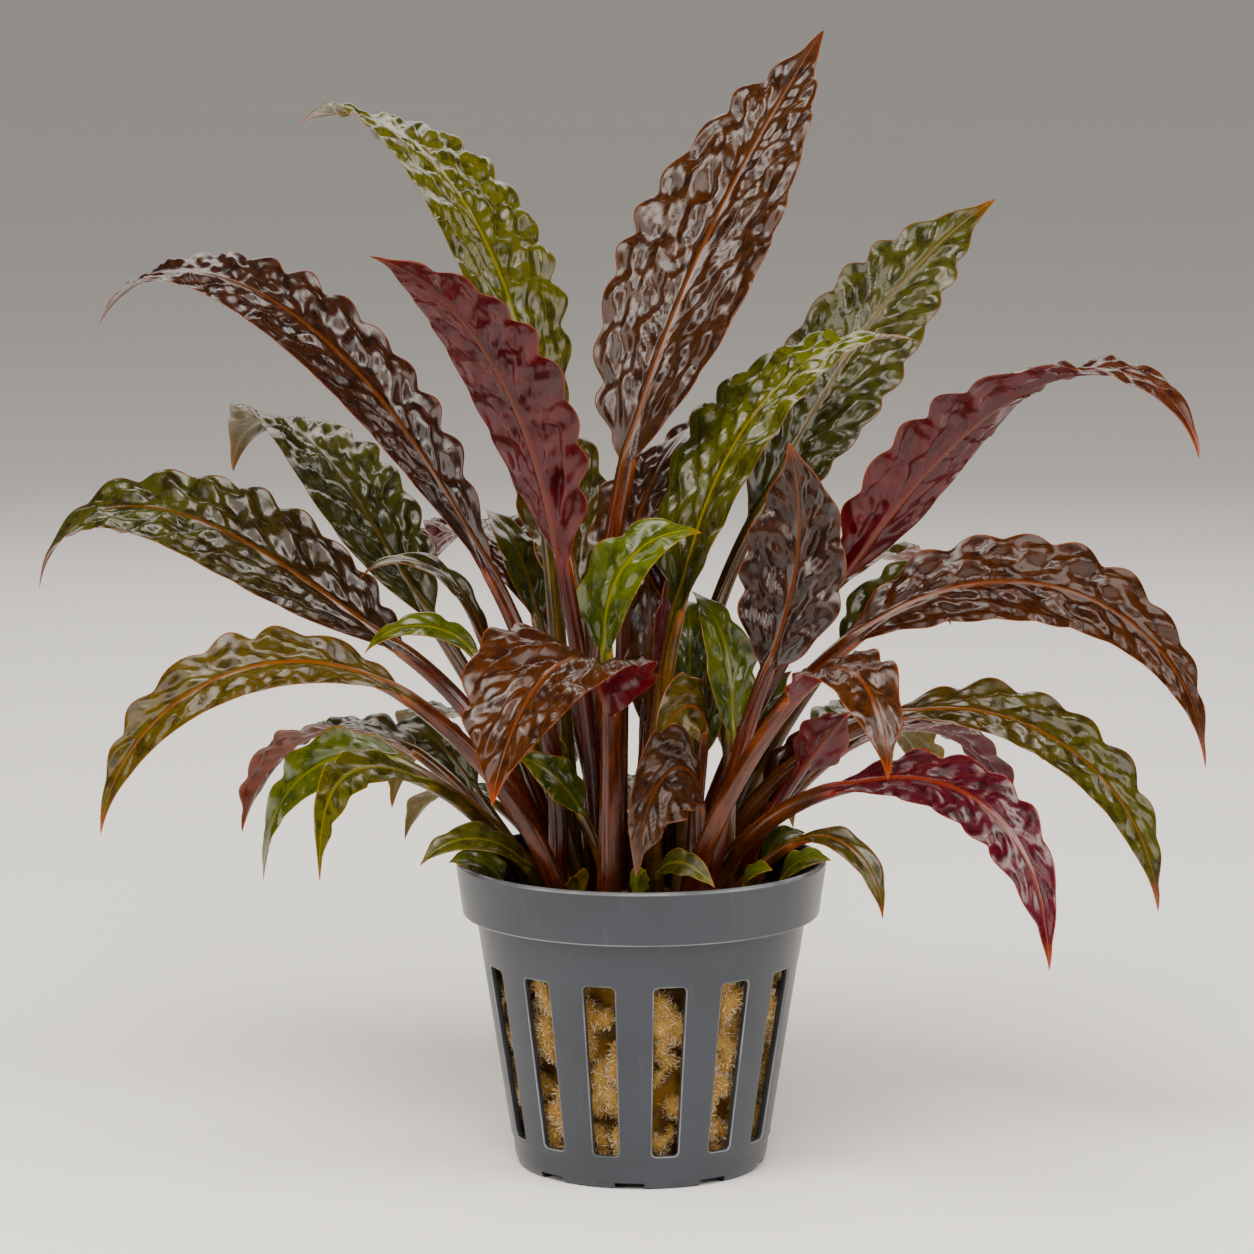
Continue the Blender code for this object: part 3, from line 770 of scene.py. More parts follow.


# A fitting program made these rows from points on the photograph. They weren't chosen by hand.
# name, foot, heading, lean, curl, stalk, blade, width, sway, roll, stalk thickness, finish, twist
LEAVES = [
    Leaf("leaf_brown_tall", (-5.5, 0), 45, (-7, 17, 47), 0.6, 61, 71, 22.5, 5, 10, 3.4, "brown"),
    Leaf("leaf_olive_tall_left", (-9, 3.5), 131, (4, 9, 107), 1.2, 59, 86, 19.5, -7, 10, 2.8, "moss"),
    Leaf("leaf_dark_arch_left", (-12, -7), 167, (-10, 31, 131), 1.6, 48, 94, 14, -46, -20, 2.8, "dark"),
    Leaf("leaf_wine_left", (-5, -4), -140, (3, 14, 79), 1.4, 49, 59, 14.5, 13, 15, 2.8, "wine"),
    Leaf(
        "leaf_grey_green_left",
        (-8.5, 7), 147, (26, 44, 168), 3.1, 45, 62, 16.5, -30, -20, 2.8, "sage", 45,
    ),
    Leaf(
        "leaf_brown_green_left",
        (-11.5, -3.5), 154, (8, 60, 178), 3.3, 43, 68, 17, 1, -30, 3.0, "turning",
    ),
    Leaf("leaf_ochre_arch_left", (-9.5, -12), -164, (15, 55, 173), 1.0, 40, 52, 11, -11, -35, 2.8, "ochre"),
    Leaf("leaf_green_low_left", (-11.5, 2), 174, (30, 67, 178), 0.8, 29, 35, 8.5, -45, -60, 2.2, "green"),
    Leaf("leaf_olive_low_left", (-14, -0.5), -145, (23, 66, 148), 1.4, 28, 42, 5.5, 62, -45, 2.2, "moss"),
    Leaf("leaf_green_short_left", (-12.5, 8), 140, (46, 46, 165), 2.2, 19, 24, 7, -6, -25, 2.0, "sage"),
    Leaf("leaf_olive_curl_left", (-8.5, 0), 167, (20, 19, 145), 1.8, 37, 25, 5.5, 9, -15, 2.2, "turning"),
    Leaf("leaf_green_curl_left", (-7.5, -5), 171, (8, 37, 146), 1.1, 38, 18, 5, 8, -30, 2.0, "green"),
    Leaf("leaf_rim_left", (-11, -9.5), -166, (18, 40, 143), 1.2, 9, 17, 5, 5, -35, 2.0, "moss"),
    Leaf(
        "leaf_brown_front",
        (-4.5, -14.5), -110, (-4, -1, 162), 0.6, 29, 44, 22.5, -12, -25, 3.2, "chestnut", 45,
    ),
    Leaf("leaf_bright_green_front", (-4, -7.5), 9, (1, -3, 104), 1.5, 36, 24, 11.5, -1, 30, 2.4, "bright"),
    Leaf("leaf_yellow_green_right", (2, -4), 26, (-5, 14, 105), 1.6, 41, 59, 20, 11, 0, 2.8, "lime"),
    Leaf("leaf_olive_tall_right", (4.5, 9.5), 49, (-3, 39, 67), 2.0, 54, 65, 16, -10, 45, 2.8, "sage"),
    Leaf("leaf_dark_upright_right", (8, -9), 8, (9, 20, -17), 1.5, 35, 31, 14, -2, 70, 2.8, "dark"),
    Leaf("leaf_wine_arch_right", (6, 7), -25, (14, 38, 174), 2.9, 50, 69, 14.5, -4, -55, 2.8, "wine", 80),
    Leaf("leaf_brown_arch_right", (7, 0.5), 5, (9, 52, 176), 1.1, 43, 66, 14, 10, 50, 3.2, "chestnut"),
    Leaf("leaf_olive_arch_right", (8, 4), -4, (16, 73, 176), 1.0, 38, 51, 13, -15, 25, 2.8, "olive"),
    Leaf("leaf_purple_arch_right", (7.5, -3.5), -23, (23, 71, 178), 1.4, 28, 51, 9, -48, 40, 2.8, "purple"),
    Leaf(
        "leaf_brown_fold_right",
        (5, -13.5), -49, (19, 52, 175), 1.4, 42, 35, 9.5, -27, 15, 2.8, "chestnut",
    ),
    Leaf("leaf_ochre_fold_front", (6.5, -6), -135, (-3, -11, 177), 0.7, 25, 17, 9, 18, -80, 2.0, "ochre"),
    Leaf("leaf_brown_low_front", (7.5, -12), -115, (-4, 0, 176), 0.7, 16, 31, 11.5, 2, -70, 2.2, "brown"),
    Leaf("leaf_green_low_front", (-4, -10.5), -170, (1, 29, 78), 1.5, 16, 12, 6, -1, -55, 2.0, "green"),
    Leaf("leaf_green_upright_front", (11.5, -2), 107, (-4, -3, 75), 1.5, 25, 22, 8, 21, 5, 2.2, "green"),
    Leaf("leaf_rim_right", (10, -6.5), -26, (33, 58, 178), 1.0, 16, 21, 4, -27, 30, 1.8, "olive"),
    Leaf("leaf_rim_front", (1, -14), -55, (4, 26, 137), 0.7, 8, 12, 3.5, 16, 65, 1.6, "moss"),
    Leaf("leaf_green_behind_right", (9.5, 7), 29, (18, 45, 68), 1.3, 40, 21, 9, -5, 20, 2.4, "sage"),
    Leaf("leaf_brown_behind", (-3, 6.5), 70, (1, 4, 67), 0.6, 42, 30, 14, -10, -10, 2.4, "brown"),
    Leaf("leaf_grey_behind_left", (-5.5, 7), 124, (26, 20, 77), 1.6, 40, 20, 7.5, 3, 5, 2.2, "sage"),
    Leaf("leaf_green_young_left", (-8, -2.5), 155, (19, 7, 12), 1.6, 18, 9, 4, -2, -55, 1.8, "moss"),
    Leaf("leaf_wine_behind_right", (11, 1), -4, (22, 36, 44), 1.6, 22, 10, 7, 0, -85, 2.2, "wine"),
    Leaf("leaf_green_centre", (4.5, -1.5), 67, (20, 8, 87), 1.5, 29, 17, 6, 33, -15, 2.0, "green"),
    Leaf("leaf_wine_furled", (1, -0.5), 60, (1, 8, 25), 1.6, 30, 18, 3.5, -1, -90, 2.0, "wine"),
]

# The leaves at the back come in five sizes. Places are foot and heading, and the same program made
# most of them.
# name, places, lean, curl, stalk, blade, width, stalk thickness, finishes in turn
BACK_LEAVES = [
    (
        "leaf_back_tall",
        ((-0.5, 4.5, 69), (-5.5, 4, 107)),
        (5, 25, 78), 1.4, 40, 43, 13.5, 2.6, ("brown", "olive"),
    ),
    (
        "leaf_back_arch",
        ((8.5, 11, 53), (0.5, 9, 88)),
        (15, 45, 154), 1.2, 39, 50, 13.5, 2.6, ("olive", "wine"),
    ),
    (
        "leaf_back_bow",
        ((-4, 9.5, 120),),
        (15, 38, 152), 1.2, 39, 50, 13.5, 2.6, ("chestnut",),
    ),
    (
        "leaf_back_low",
        (
            (11.5, 5, 36), (12, 9.5, 53), (4, 12.5, 77),
            (-2.5, 12.5, 100), (-7.5, 10, 124), (-14.5, 3.5, 145),
        ),
        (28, 65, 170), 1.1, 28, 40, 11, 2.2, ("chestnut", "green", "olive"),
    ),
    (
        "leaf_back_rim",
        ((6.5, 13, 62), (0, 14, 92), (-10.5, 10, 134)),
        (34, 70, 162), 1.2, 18, 23, 6.5, 1.8, ("green", "moss"),
    ),
]
for name, places, lean, curl, stalk, blade, width, thick, finishes in BACK_LEAVES:
    for number, (x, y, heading) in enumerate(places):
        finish = finishes[number % len(finishes)]
        sizes = (curl, stalk, blade, width)
        LEAVES.append(Leaf(f"{name}_{number + 1}", (x, y), heading, lean, *sizes, 0, 0, thick, finish))


def midrib(leaf, along):
    """Points on a leaf's midrib, with the blade's upper normal and its right side, by rows."""
    total = leaf.stalk + leaf.blade
    foot, base, tip = np.radians(leaf.lean)

    def ways(distance):
        rising = foot + (base - foot) * distance / leaf.stalk
        share = np.clip((distance - leaf.stalk) / leaf.blade, 0, 1)
        lean = np.where(distance < leaf.stalk, rising, base + (tip - base) * share ** leaf.curl)
        heading = radians(leaf.heading) + radians(leaf.sway) * (distance / total) ** SWAY_GATHERS
        return lean, heading

    def tangents(lean, heading):
        return np.stack([np.sin(lean) * np.cos(heading), np.sin(lean) * np.sin(heading), np.cos(lean)], -1)

    step = total / PATH_STEPS
    moves = tangents(*ways((np.arange(PATH_STEPS) + 0.5) * step)) * step
    path = np.vstack([[0, 0, 0], np.cumsum(moves, 0)]) + np.array([*leaf.foot, FOOT_HEIGHT])
    marks = np.arange(PATH_STEPS + 1) * step
    points = np.stack([np.interp(along, marks, path[:, axis]) for axis in range(3)], -1)
    lean, heading = ways(along)
    up = np.stack([-np.cos(lean) * np.cos(heading), -np.cos(lean) * np.sin(heading), np.sin(lean)], -1)
    side = np.cross(tangents(lean, heading), up)
    turning = (1 - ROLL_START) * leaf.stalk + ROLL_REACH * leaf.blade
    share = (along - ROLL_START * leaf.stalk) / turning
    grown = np.clip((along - leaf.stalk) / leaf.blade, 0, 1)
    roll = (radians(leaf.roll) * np.clip(share, 0, 1) + radians(leaf.twist) * grown)[:, None]
    return points, up * np.cos(roll) + side * np.sin(roll), side * np.cos(roll) - up * np.sin(roll)


def lobe(swing):
    """A margin's wave: wide round lobes with narrow notches between them."""
    return 2 * np.sqrt(np.sin(swing / 2) ** 2 + NOTCH_SOFTNESS) - 1.1


def pillow(share):
    """A smooth swelling that falls to nothing at every whole number."""
    return 0.5 - 0.5 * np.cos(TURN * share)


def spread_across(leaf, half, is_blade):
    """Where each column lies in each row, from -1 at the left margin to 1 at the right."""
    columns = max(FEWEST_ACROSS, 2 * round(leaf.width / ACROSS_STEP / 2))
    inner = np.linspace(-1, 1, columns - 1)
    inner = (1 - CENTRE_CROWDING) * inner + CENTRE_CROWDING * inner * np.abs(inner)
    strip = np.minimum(MARGIN_STRIP / half, WIDEST_STRIP)[:, None]
    flat = np.hstack([-np.ones_like(strip), inner * (1 - strip), np.ones_like(strip)])
    round_way = np.sin(np.linspace(-pi / 2, pi / 2, columns + 1))
    return round_way + (flat - round_way) * is_blade


def margin_lobes(leaf, grown, is_left, phases):
    """The waves of both margins, which take turns and change in size along the blade."""
    waves = max(FEWEST_BLADE_WAVES, 2 * round(leaf.blade / WAVE_LENGTH))
    swing = pi * grown * waves + WAVE_WANDER * np.sin(WANDER_TURNS * TURN * grown + phases[0])
    right_size = LOBE_SIZE + LOBE_CHANGE * np.sin(RIGHT_LOBE_TURNS * TURN * grown + phases[1])
    left_size = LOBE_SIZE + LOBE_CHANGE * np.sin(LEFT_LOBE_TURNS * TURN * grown + phases[4])
    right, left = lobe(swing) * right_size, lobe(swing + pi) * left_size
    return np.where(is_left, left[:, None], right[:, None])


def puckering(vein, local, seed):
    """Swellings between the side veins, under coarse and fine wrinkles."""
    cells = pillow(vein + CELL_WANDER * rumple(local, (7, 7), seed + 31))
    coarse = rumple(local, (PUCKER_ALONG, PUCKER_ACROSS), seed + 57)
    fine = rumple(local, (PUCKER_ALONG * PUCKER_FINE, PUCKER_ACROSS * PUCKER_FINE), seed + 83)
    return CELL_SHARE * (cells - 0.5) + COARSE_SHARE * coarse + FINE_SHARE * fine


def wrapped(upper, lower):
    """Rows that run across a leaf's upper face and back across its lower one."""
    return np.concatenate([upper, lower[:, -2:0:-1]], 1)


def leaf_mesh(leaf, seed):
    """A leaf's closed skin, with where each corner lies on the leaf."""
    base = leaf.stalk * BASE_START
    blade_rows = round(leaf.blade / BLADE_STEP) + BASE_ROWS
    along = np.concatenate([
        np.linspace(0, base, round(leaf.stalk / STALK_STEP), endpoint=False),
        np.linspace(base, leaf.stalk + leaf.blade, blade_rows)[:-1],
    ])
    points, normal, side = midrib(leaf, along)
    distance = along - leaf.stalk
    place = np.where(distance < 0, distance / leaf.stalk, distance / leaf.blade)
    grown = np.clip(place, 0, 1)
    is_blade = smooth(place, -0.02, 0.10)[:, None]
    phases = np.random.default_rng(seed).uniform(0, TURN, 6)

    open_half = leaf.width / 2 * np.sin(pi * grown ** BLADE_FULLNESS) ** BLADE_ROUNDNESS
    open_half *= 1 - TIP_DRAWN_OUT * smooth(grown, 0.80, 0.96)
    radius = leaf.thick / 2 * (1 - STALK_TAPER * np.clip(place + 1, 0, 1)) * (1 - RIB_TAPER * grown)
    half = (open_half ** 4 + (radius * (1 - grown ** 6)) ** 4) ** 0.25
    fullness = np.minimum(1, open_half / FULL_WAVE_HALF_WIDTH)
    across = spread_across(leaf, half, is_blade)
    out = np.abs(across)
    is_left = across < 0
    lobes = fullness[:, None] * margin_lobes(leaf, grown, is_left, phases)
    half = half[:, None] + WAVE_OUT * lobes * out ** 2
    reach = out * half
    rows = distance[:, None] + 0 * across

    slanted = rows - VEIN_SLANT * reach - VEIN_BOW * reach ** 2
    spacing = VEIN_SPACING + VEIN_SPACING_BY_WIDTH * leaf.width
    vein = slanted / spacing + np.where(is_left, LEFT_VEIN_SHIFT, 0)
    pucker = puckering(vein, np.stack([rows - reach, across * half], -1), seed)
    calm = smooth(reach, 0.35, 1.5) * smooth((1 - out) * half, -0.2, 1.6)
    calm *= smooth(place, 0.03, 0.16)[:, None] * (1 - 0.7 * smooth(place, 0.8, 1.0))[:, None]
    pucker *= PUCKER_DEPTH * calm * np.minimum(1, 0.25 + open_half / 7)[:, None]

    turned_up = open_half * sin(radians(FOLD)) * (1 - 0.5 * grown)
    rise = turned_up[:, None] * out ** 1.15 + WAVE_HEIGHT * lobes * out ** WAVE_REACH + pucker
    sheet = SHEET * (1 - out ** 8) * is_blade * np.minimum(1, half / 1.5)
    girth = radius[:, None] * (1 - grown ** 6)[:, None]
    width_above = girth * (1 + (RIB_ABOVE_WIDTH - 1) * is_blade) + 1e-6
    rib_above = girth * np.sqrt(np.clip(1 - (reach / width_above) ** 2, 0, 1))
    rib_above *= 1 + (RIB_ABOVE - 1) * is_blade
    rib_below = girth * np.sqrt(np.clip(1 - (reach / (girth + 1e-6)) ** 2, 0, 1))
    fluting = np.cos(FLUTES * np.arcsin(np.clip(across, -1, 1)) + phases[3])
    flutes = 1 + FLUTE_DEPTH * fluting * (1 - is_blade)

    lie = (across * half * (1 + (cos(radians(FOLD)) - 1) * is_blade))[..., None] * side[:, None]
    top = points[:, None] + lie + ((rise + sheet + rib_above * flutes)[..., None]) * normal[:, None]
    below = points[:, None] + lie + ((rise - sheet - rib_below * flutes)[..., None]) * normal[:, None]
    tip = midrib(leaf, np.array([leaf.stalk + leaf.blade]))[0][0]
    mesh = skin_mesh(leaf.name, wrapped(top, below), points[0], tip)

    both_faces = {
        "place": (place[:, None] + 0 * out, -1, 1),
        "vein": (vein, 0, 0),
        "edge": ((1 - out) * half, 1, 0),
        "rib": (reach / (girth + 0.02), 0, 0),
        "along": (rows, 0, leaf.blade),
        "across": (across * half, 0, 0),
    }
    for name, (values, at_foot, at_tip) in both_faces.items():
        carry_value(mesh, name, [*wrapped(values, values).ravel(), at_foot, at_tip])
    face = wrapped(np.where(out > 0.9999, 0.5, 1.0), np.zeros_like(out))
    carry_value(mesh, "face", [*face.ravel(), 0.5, 0.5])
    return mesh


def paint(red, green, blue):
    """A colour as the eye reads it, 0 to 255, made linear and as deep and rich as wet leaves are."""
    linear = [(channel / 255) ** 2.2 for channel in (red, green, blue)]
    grey = sum(linear) / 3
    return tuple(LEAF_DEPTH * max(0.0, grey + LEAF_RICHNESS * (channel - grey)) for channel in linear)


@dataclass
class Finish:
    """A leaf's colours: above at its base and further out, blotches, rib, margin, tip, beneath, stalk."""

    slot: str
    base: tuple
    outer: tuple
    blotch: tuple
    rib: tuple
    margin: tuple
    tip: tuple
    beneath: tuple
    stalk: tuple


FINISHES = {
    "brown": Finish(
        "leaf_brown", (74, 44, 24), (84, 54, 34), (48, 26, 14), (134, 78, 40), (168, 96, 44),
        (118, 62, 36), (98, 40, 40), (132, 69, 37),
    ),
    "chestnut": Finish(
        "leaf_brown", (84, 48, 26), (92, 56, 34), (52, 28, 15), (150, 84, 38), (180, 98, 42),
        (196, 96, 40), (108, 34, 44), (140, 74, 38),
    ),
    "dark": Finish(
        "leaf_dark", (58, 34, 26), (72, 46, 34), (34, 20, 15), (122, 72, 44), (160, 84, 48),
        (156, 80, 42), (98, 40, 40), (120, 59, 38),
    ),
    "moss": Finish(
        "leaf_olive", (94, 92, 38), (108, 106, 46), (56, 56, 22), (158, 150, 72), (166, 138, 58),
        (176, 78, 46), (112, 92, 44), (124, 100, 42),
    ),
    "sage": Finish(
        "leaf_olive", (84, 84, 44), (96, 95, 48), (50, 50, 27), (134, 108, 58), (172, 112, 48),
        (160, 104, 44), (102, 88, 40), (130, 92, 42),
    ),
    "olive": Finish(
        "leaf_olive", (88, 72, 36), (98, 96, 46), (54, 48, 22), (158, 98, 42), (180, 108, 46),
        (196, 102, 44), (136, 70, 46), (134, 82, 40),
    ),
    "turning": Finish(
        "leaf_brown", (62, 42, 28), (86, 88, 42), (44, 32, 20), (138, 84, 48), (168, 106, 48),
        (190, 84, 44), (120, 50, 44), (124, 62, 36),
    ),
    "ochre": Finish(
        "leaf_ochre", (94, 80, 38), (108, 94, 46), (62, 50, 24), (160, 96, 40), (182, 108, 44),
        (196, 104, 42), (116, 44, 38), (128, 68, 36),
    ),
    "green": Finish(
        "leaf_green", (90, 100, 24), (108, 116, 28), (56, 66, 16), (150, 146, 64), (180, 134, 52),
        (196, 112, 48), (132, 112, 52), (138, 96, 42),
    ),
    "bright": Finish(
        "leaf_green", (98, 110, 14), (114, 126, 18), (72, 82, 10), (176, 168, 66), (196, 160, 58),
        (196, 150, 60), (130, 140, 44), (142, 112, 42),
    ),
    "lime": Finish(
        "leaf_green", (84, 84, 20), (120, 124, 28), (62, 60, 16), (182, 160, 66), (192, 122, 52),
        (200, 124, 54), (146, 96, 44), (146, 104, 44),
    ),
    "wine": Finish(
        "leaf_wine", (92, 54, 36), (98, 58, 42), (58, 30, 22), (136, 70, 42), (166, 84, 58),
        (176, 82, 46), (95, 34, 38), (110, 44, 38),
    ),
    "purple": Finish(
        "leaf_wine", (92, 35, 42), (101, 38, 50), (56, 20, 28), (160, 74, 46), (174, 70, 60),
        (192, 96, 60), (118, 38, 48), (136, 76, 40),
    ),
}


def leaf_finish(name, finish):
    """Wet-looking leaf skin, from where each point lies on the leaf."""
    mat, tree, shader = new_material(f"leaf_{name}_skin")
    value = {key: own_value(tree, key) for key in LEAF_VALUES}
    place = object_place(tree)
    cloud = grain(tree, place, 85, 2)
    spots = grain(tree, place, 420, 3, 0.6)
    colour = {key: paint(*getattr(finish, key)) for key in Finish.__dataclass_fields__ if key != "slot"}
    on_stalk = step_up(tree, value["place"], 0.04, -0.10)

    wander = maths(tree, "MULTIPLY_ADD", cloud, 0.5, value["place"])
    above = blend(tree, step_up(tree, wander, 0.35, 0.95), colour["base"], colour["outer"])
    above = blend(tree, step_up(tree, spots, 0.46, 0.62, 0.0, 0.75), above, colour["blotch"])
    lighter = tuple(min(1, channel * BENEATH_LIGHTER) for channel in colour["beneath"])
    beneath = blend(tree, step_up(tree, spots, 0.40, 0.66), colour["beneath"], lighter)
    darker = tuple(channel * BENEATH_DARKER for channel in colour["beneath"])
    beneath = blend(tree, step_up(tree, cloud, 0.50, 0.72, 0.0, 0.7), beneath, darker)
    is_above = step_up(tree, value["face"], 0.44, 0.56)
    skin = blend(tree, is_above, beneath, above)

    phase = maths(tree, "ABSOLUTE", maths(tree, "SUBTRACT", maths(tree, "FRACT", value["vein"]), 0.5))
    side_veins = step_up(tree, phase, 0.468, 0.5, 0.0, 0.50)
    skin = blend(tree, side_veins, skin, colour["rib"])
    skin = blend(tree, step_up(tree, value["rib"], 0.52, 0.24, 0.0, 0.70), skin, colour["rib"])
    skin = blend(tree, step_up(tree, value["edge"], 0.26, 0.04, 0.0, 0.9), skin, colour["margin"])
    reached = maths(tree, "MULTIPLY_ADD", spots, 0.06, value["place"])
    skin = blend(tree, step_up(tree, reached, 0.93, 1.05), skin, colour["tip"])

    streak_place = {"X": maths(tree, "MULTIPLY", value["along"], 0.06), "Y": value["across"]}
    streaks = add_node(tree, "ShaderNodeCombineXYZ", streak_place).outputs[0]
    lines = grain(tree, streaks, 3.2, 2, 0.6)
    dark_stalk = tuple(channel * STALK_DARKER for channel in colour["stalk"])
    stalk = blend(tree, step_up(tree, lines, 0.40, 0.66), dark_stalk, colour["stalk"])
    stalk = blend(tree, step_up(tree, cloud, 0.45, 0.7, 0.0, 0.5), stalk, dark_stalk)
    skin = blend(tree, on_stalk, skin, stalk)

    rough = step_up(tree, grain(tree, place, 900, 2), 0.35, 0.65, 0.22, 0.31)
    rough = maths(tree, "MULTIPLY_ADD", maths(tree, "SUBTRACT", 1.0, is_above), 0.05, rough)
    wrinkle_place = {"X": maths(tree, "MULTIPLY", value["vein"], 2.4), "Y": value["across"]}
    wrinkles = add_node(tree, "ShaderNodeCombineXYZ", wrinkle_place).outputs[0]
    relief = maths(tree, "MULTIPLY_ADD", side_veins, -0.9, grain(tree, wrinkles, 1.6, 2, 0.5))
    on_blade = maths(tree, "MULTIPLY", relief, maths(tree, "SUBTRACT", 1.0, on_stalk))
    ribbing = maths(tree, "MULTIPLY", lines, 1.4)
    height = maths(tree, "ADD", on_blade, maths(tree, "MULTIPLY", ribbing, on_stalk))
    looks = {"Base Color": skin, "Roughness": rough, "Specular IOR Level": 0.26}
    looks.update({"Coat Weight": 0.24, "Coat Roughness": 0.15, "Normal": raised(tree, height, 0.4, 0.00006)})
    set_inputs(tree, shader, looks)
    return mat


skins = {name: leaf_finish(name, finish) for name, finish in FINISHES.items()}


def grow(leaf, name, seed):
    """A leaf's finished piece."""
    grown = add_object(name, leaf_mesh(leaf, seed))
    grown.data.materials.append(skins[leaf.finish])
    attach(grown, "root")
    return grown


for number, leaf in enumerate(LEAVES):
    grown_leaf = grow(leaf, f"{leaf.name}_grown", LEAF_SEED + number)
    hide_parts(leaf.name)


# The young shoots
# Small leaves that have only just come up, along the rim and between the stalks of the crown. They
# stand in the wool's top, and each is one growth like the full leaves.
SHOOTS = [
    Leaf("shoot_left", (-17.5, -7), 165, (0, 25, 120), 1.0, 5, 9, 5, 0, -30, 1.5, "green"),
    Leaf("shoot_left_low", (-18.5, -2), -150, (-5, 20, 110), 1.0, 4, 8, 4.5, 0, 20, 1.4, "bright"),
    Leaf("shoot_front_left", (-8, -16), -100, (0, 10, 90), 1.0, 5, 6, 3.5, 0, 40, 1.2, "green"),
    Leaf("shoot_front", (-0.5, -17.5), -70, (-8, 0, 80), 1.0, 5, 6, 3, 0, -50, 1.2, "bright"),
    Leaf("shoot_front_right", (13, -13), -40, (-5, 12, 100), 1.0, 5, 7, 3.5, 0, 40, 1.3, "green"),
    Leaf("shoot_right", (18, -5), -10, (0, 22, 110), 1.0, 5, 8, 4.5, 0, 30, 1.4, "bright"),
    Leaf("shoot_back_right", (16, 8), 40, (5, 25, 110), 1.0, 5, 9, 4.5, 0, 20, 1.4, "green"),
    Leaf("shoot_back", (-3, 18), 95, (0, 20, 110), 1.0, 5, 9, 4.5, 0, -20, 1.4, "bright"),
    Leaf("shoot_back_left", (-16, 11), 150, (5, 22, 110), 1.0, 5, 8, 4, 0, 20, 1.4, "green"),
    Leaf("shoot_inner_middle", (1, 6), 90, (0, 2, 40), 1.2, 24, 22, 7, 0, 10, 1.9, "brown"),
    Leaf("shoot_inner_back_right", (3.5, 11), 60, (3, 6, 50), 1.2, 18, 20, 7, 0, -20, 1.8, "wine"),
    Leaf("shoot_inner_right", (10, 8), 40, (8, 14, 70), 1.2, 17, 18, 6.5, 0, 30, 1.8, "moss"),
    Leaf("shoot_inner_back_left", (-4, 10), 110, (3, 8, 60), 1.2, 20, 20, 7, 0, 15, 1.8, "chestnut"),
    Leaf("shoot_inner_left", (-9, 5), 150, (6, 14, 70), 1.2, 20, 18, 6.5, 0, -25, 1.8, "olive"),
    Leaf("shoot_inner_low_left", (-12, 8), 140, (10, 20, 80), 1.2, 14, 16, 6, 0, -20, 1.6, "green"),
    Leaf("shoot_inner_low_right", (14, 3), 10, (8, 18, 80), 1.2, 14, 16, 6, 0, 35, 1.6, "brown"),
    Leaf("shoot_inner_green", (7, 3), 60, (4, 8, 60), 1.2, 20, 18, 6, 0, 10, 1.7, "green"),
]
for number, shoot in enumerate(SHOOTS):
    grow(shoot, shoot.name, SHOOT_SEED + number)


# The studio
# A plain pale floor that runs on to the horizon, lit softly from above and from both sides. It is
# not part of the plant.
FLOOR_SIZE = 80.0
FLOOR_PALE = (0.90, 0.90, 0.89)
KEY_SUN = 1.0
KEY_SPREAD = 24.0
FILL_SUN = 0.12
FILL_SPREAD = 60.0
SKY = (0.66, 0.65, 0.64)
WARM_WHITE = (1.0, 0.93, 0.85)
SKY_STRENGTH = 0.10
PLANT_MIDDLE = Vector((0, 0, 0.09))


def make_floor():
    bm = bmesh.new()
    bmesh.ops.create_grid(bm, x_segments=4, y_segments=4, size=FLOOR_SIZE / 2 / MM)
    floor = new_object("studio_floor", bm)
    mat, tree, shader = new_material("pale_studio_floor")
    place = object_place(tree)
    cloud = grain(tree, place, 1.5, 2)
    pale = tuple(channel * 1.03 for channel in FLOOR_PALE)
    colour = blend(tree, cloud, FLOOR_PALE, pale)
    set_inputs(tree, shader, {"Base Color": colour, "Roughness": 0.7, "Specular IOR Level": 0.2})
    floor.data.materials.append(mat)


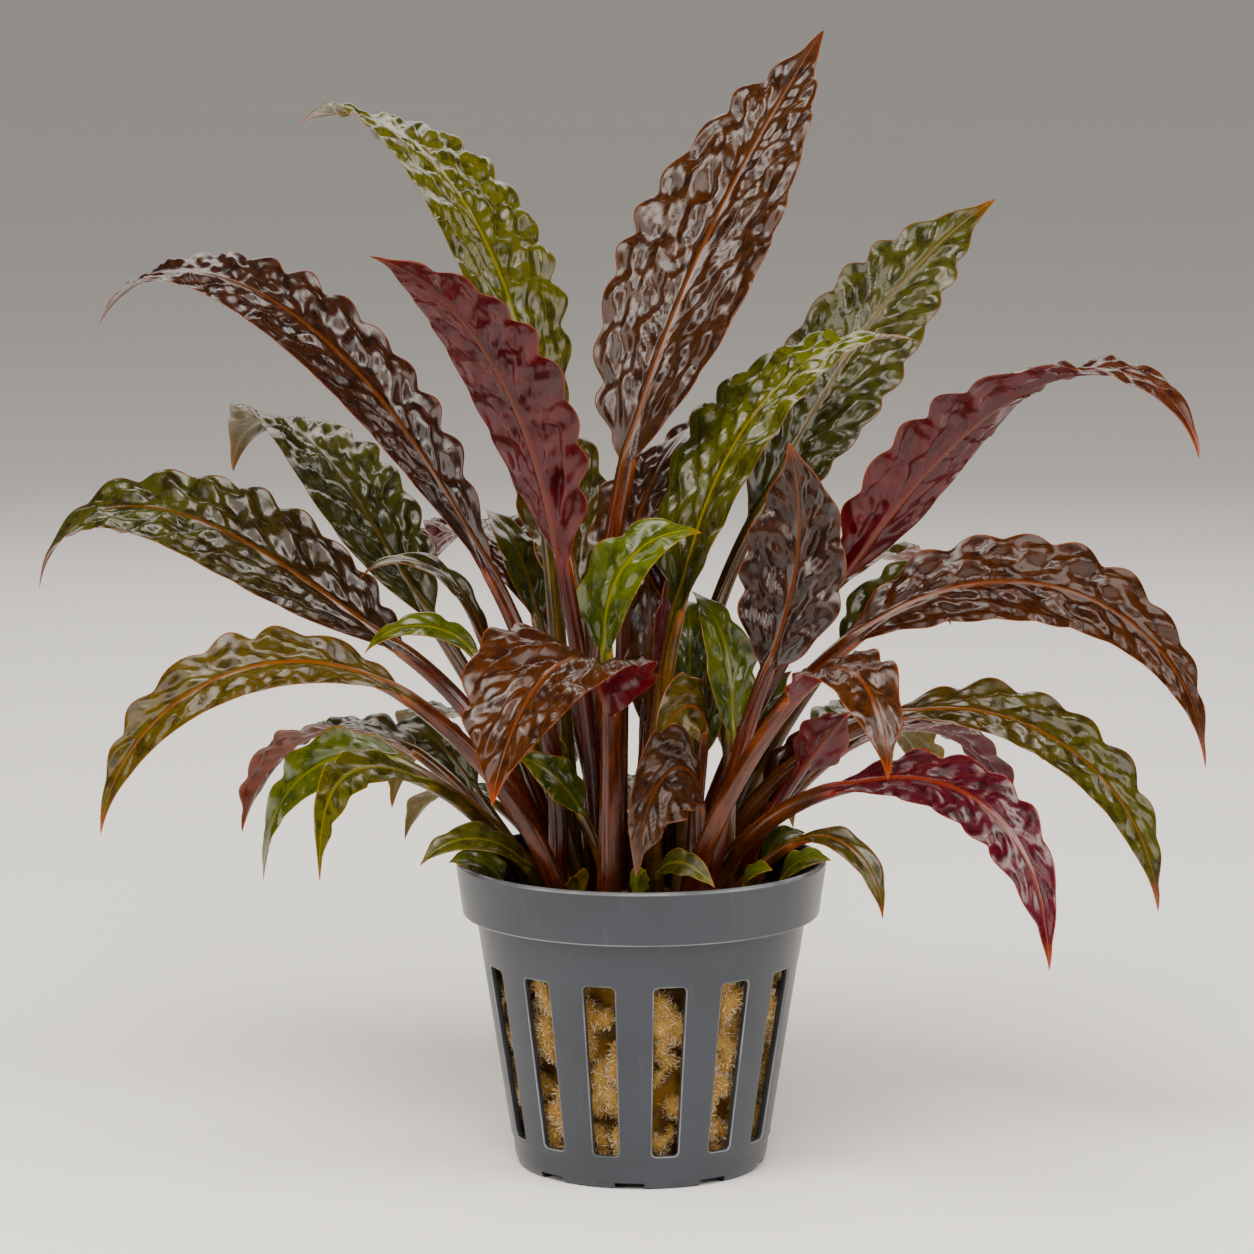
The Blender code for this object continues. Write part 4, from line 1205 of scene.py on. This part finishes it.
def add_sun(name, strength, spread, bearing, height):
    """Even light from one side, as soft as its spread is wide."""
    sun = bpy.data.lights.new(name, "SUN")
    sun.energy = strength
    sun.angle = radians(spread)
    sun.color = WARM_WHITE
    turn, rise = radians(bearing), radians(height)
    away = Vector((sin(turn) * cos(rise), -cos(turn) * cos(rise), sin(rise)))
    add_object(name, sun).rotation_euler = away.to_track_quat("Z", "Y").to_euler()


def add_panel(name, power, width, height, place):
    """A softbox that faces the middle of the plant."""
    lamp = bpy.data.lights.new(name, "AREA")
    lamp.shape = "RECTANGLE"
    lamp.size = width
    lamp.size_y = height
    lamp.energy = power
    lamp.color = WARM_WHITE
    obj = add_object(name, lamp)
    obj.location = place
    obj.rotation_euler = (Vector(place) - PLANT_MIDDLE).to_track_quat("Z", "Y").to_euler()


make_floor()
add_sun("key_light", KEY_SUN, KEY_SPREAD, -28, 58)
add_sun("fill_light", FILL_SUN, FILL_SPREAD, 60, 30)
add_panel("softbox_above", 4.0, 0.52, 0.34, (-0.10, -0.25, 0.62))
add_panel("softbox_front", 3.4, 0.36, 0.26, (0.06, -0.74, 0.62))
add_panel("softbox_left", 3.4, 0.42, 0.7, (-0.50, -0.32, 0.28))
add_panel("softbox_right", 3.8, 0.42, 0.6, (0.48, -0.28, 0.40))
add_panel("softbox_behind", 2.0, 0.7, 0.35, (0.0, 0.55, 0.45))

world = bpy.data.worlds.new("studio")
bpy.context.scene.world = world
world.use_nodes = True
backing = world.node_tree.nodes["Background"]
set_inputs(world.node_tree, backing, {"Color": (*SKY, 1), "Strength": SKY_STRENGTH})

# The camera's place, pitch and lens come from a program's fit to points on the pot. It stands 64 cm
# away and looks down by 0.139 radians, which is 8 degrees.
CAMERA_PLACE = (-0.0019, -0.639, 0.1625)
CAMERA_DOWN = 0.139
CAMERA_LENS = 138.2
camera = bpy.data.cameras.new("camera")
camera.lens = CAMERA_LENS
camera.sensor_width = 36.0
camera.clip_end = 200.0
camera_object = add_object("camera", camera)
camera_object.location = CAMERA_PLACE
camera_object.rotation_euler = (pi / 2 - CAMERA_DOWN, 0, 0)
bpy.context.scene.camera = camera_object
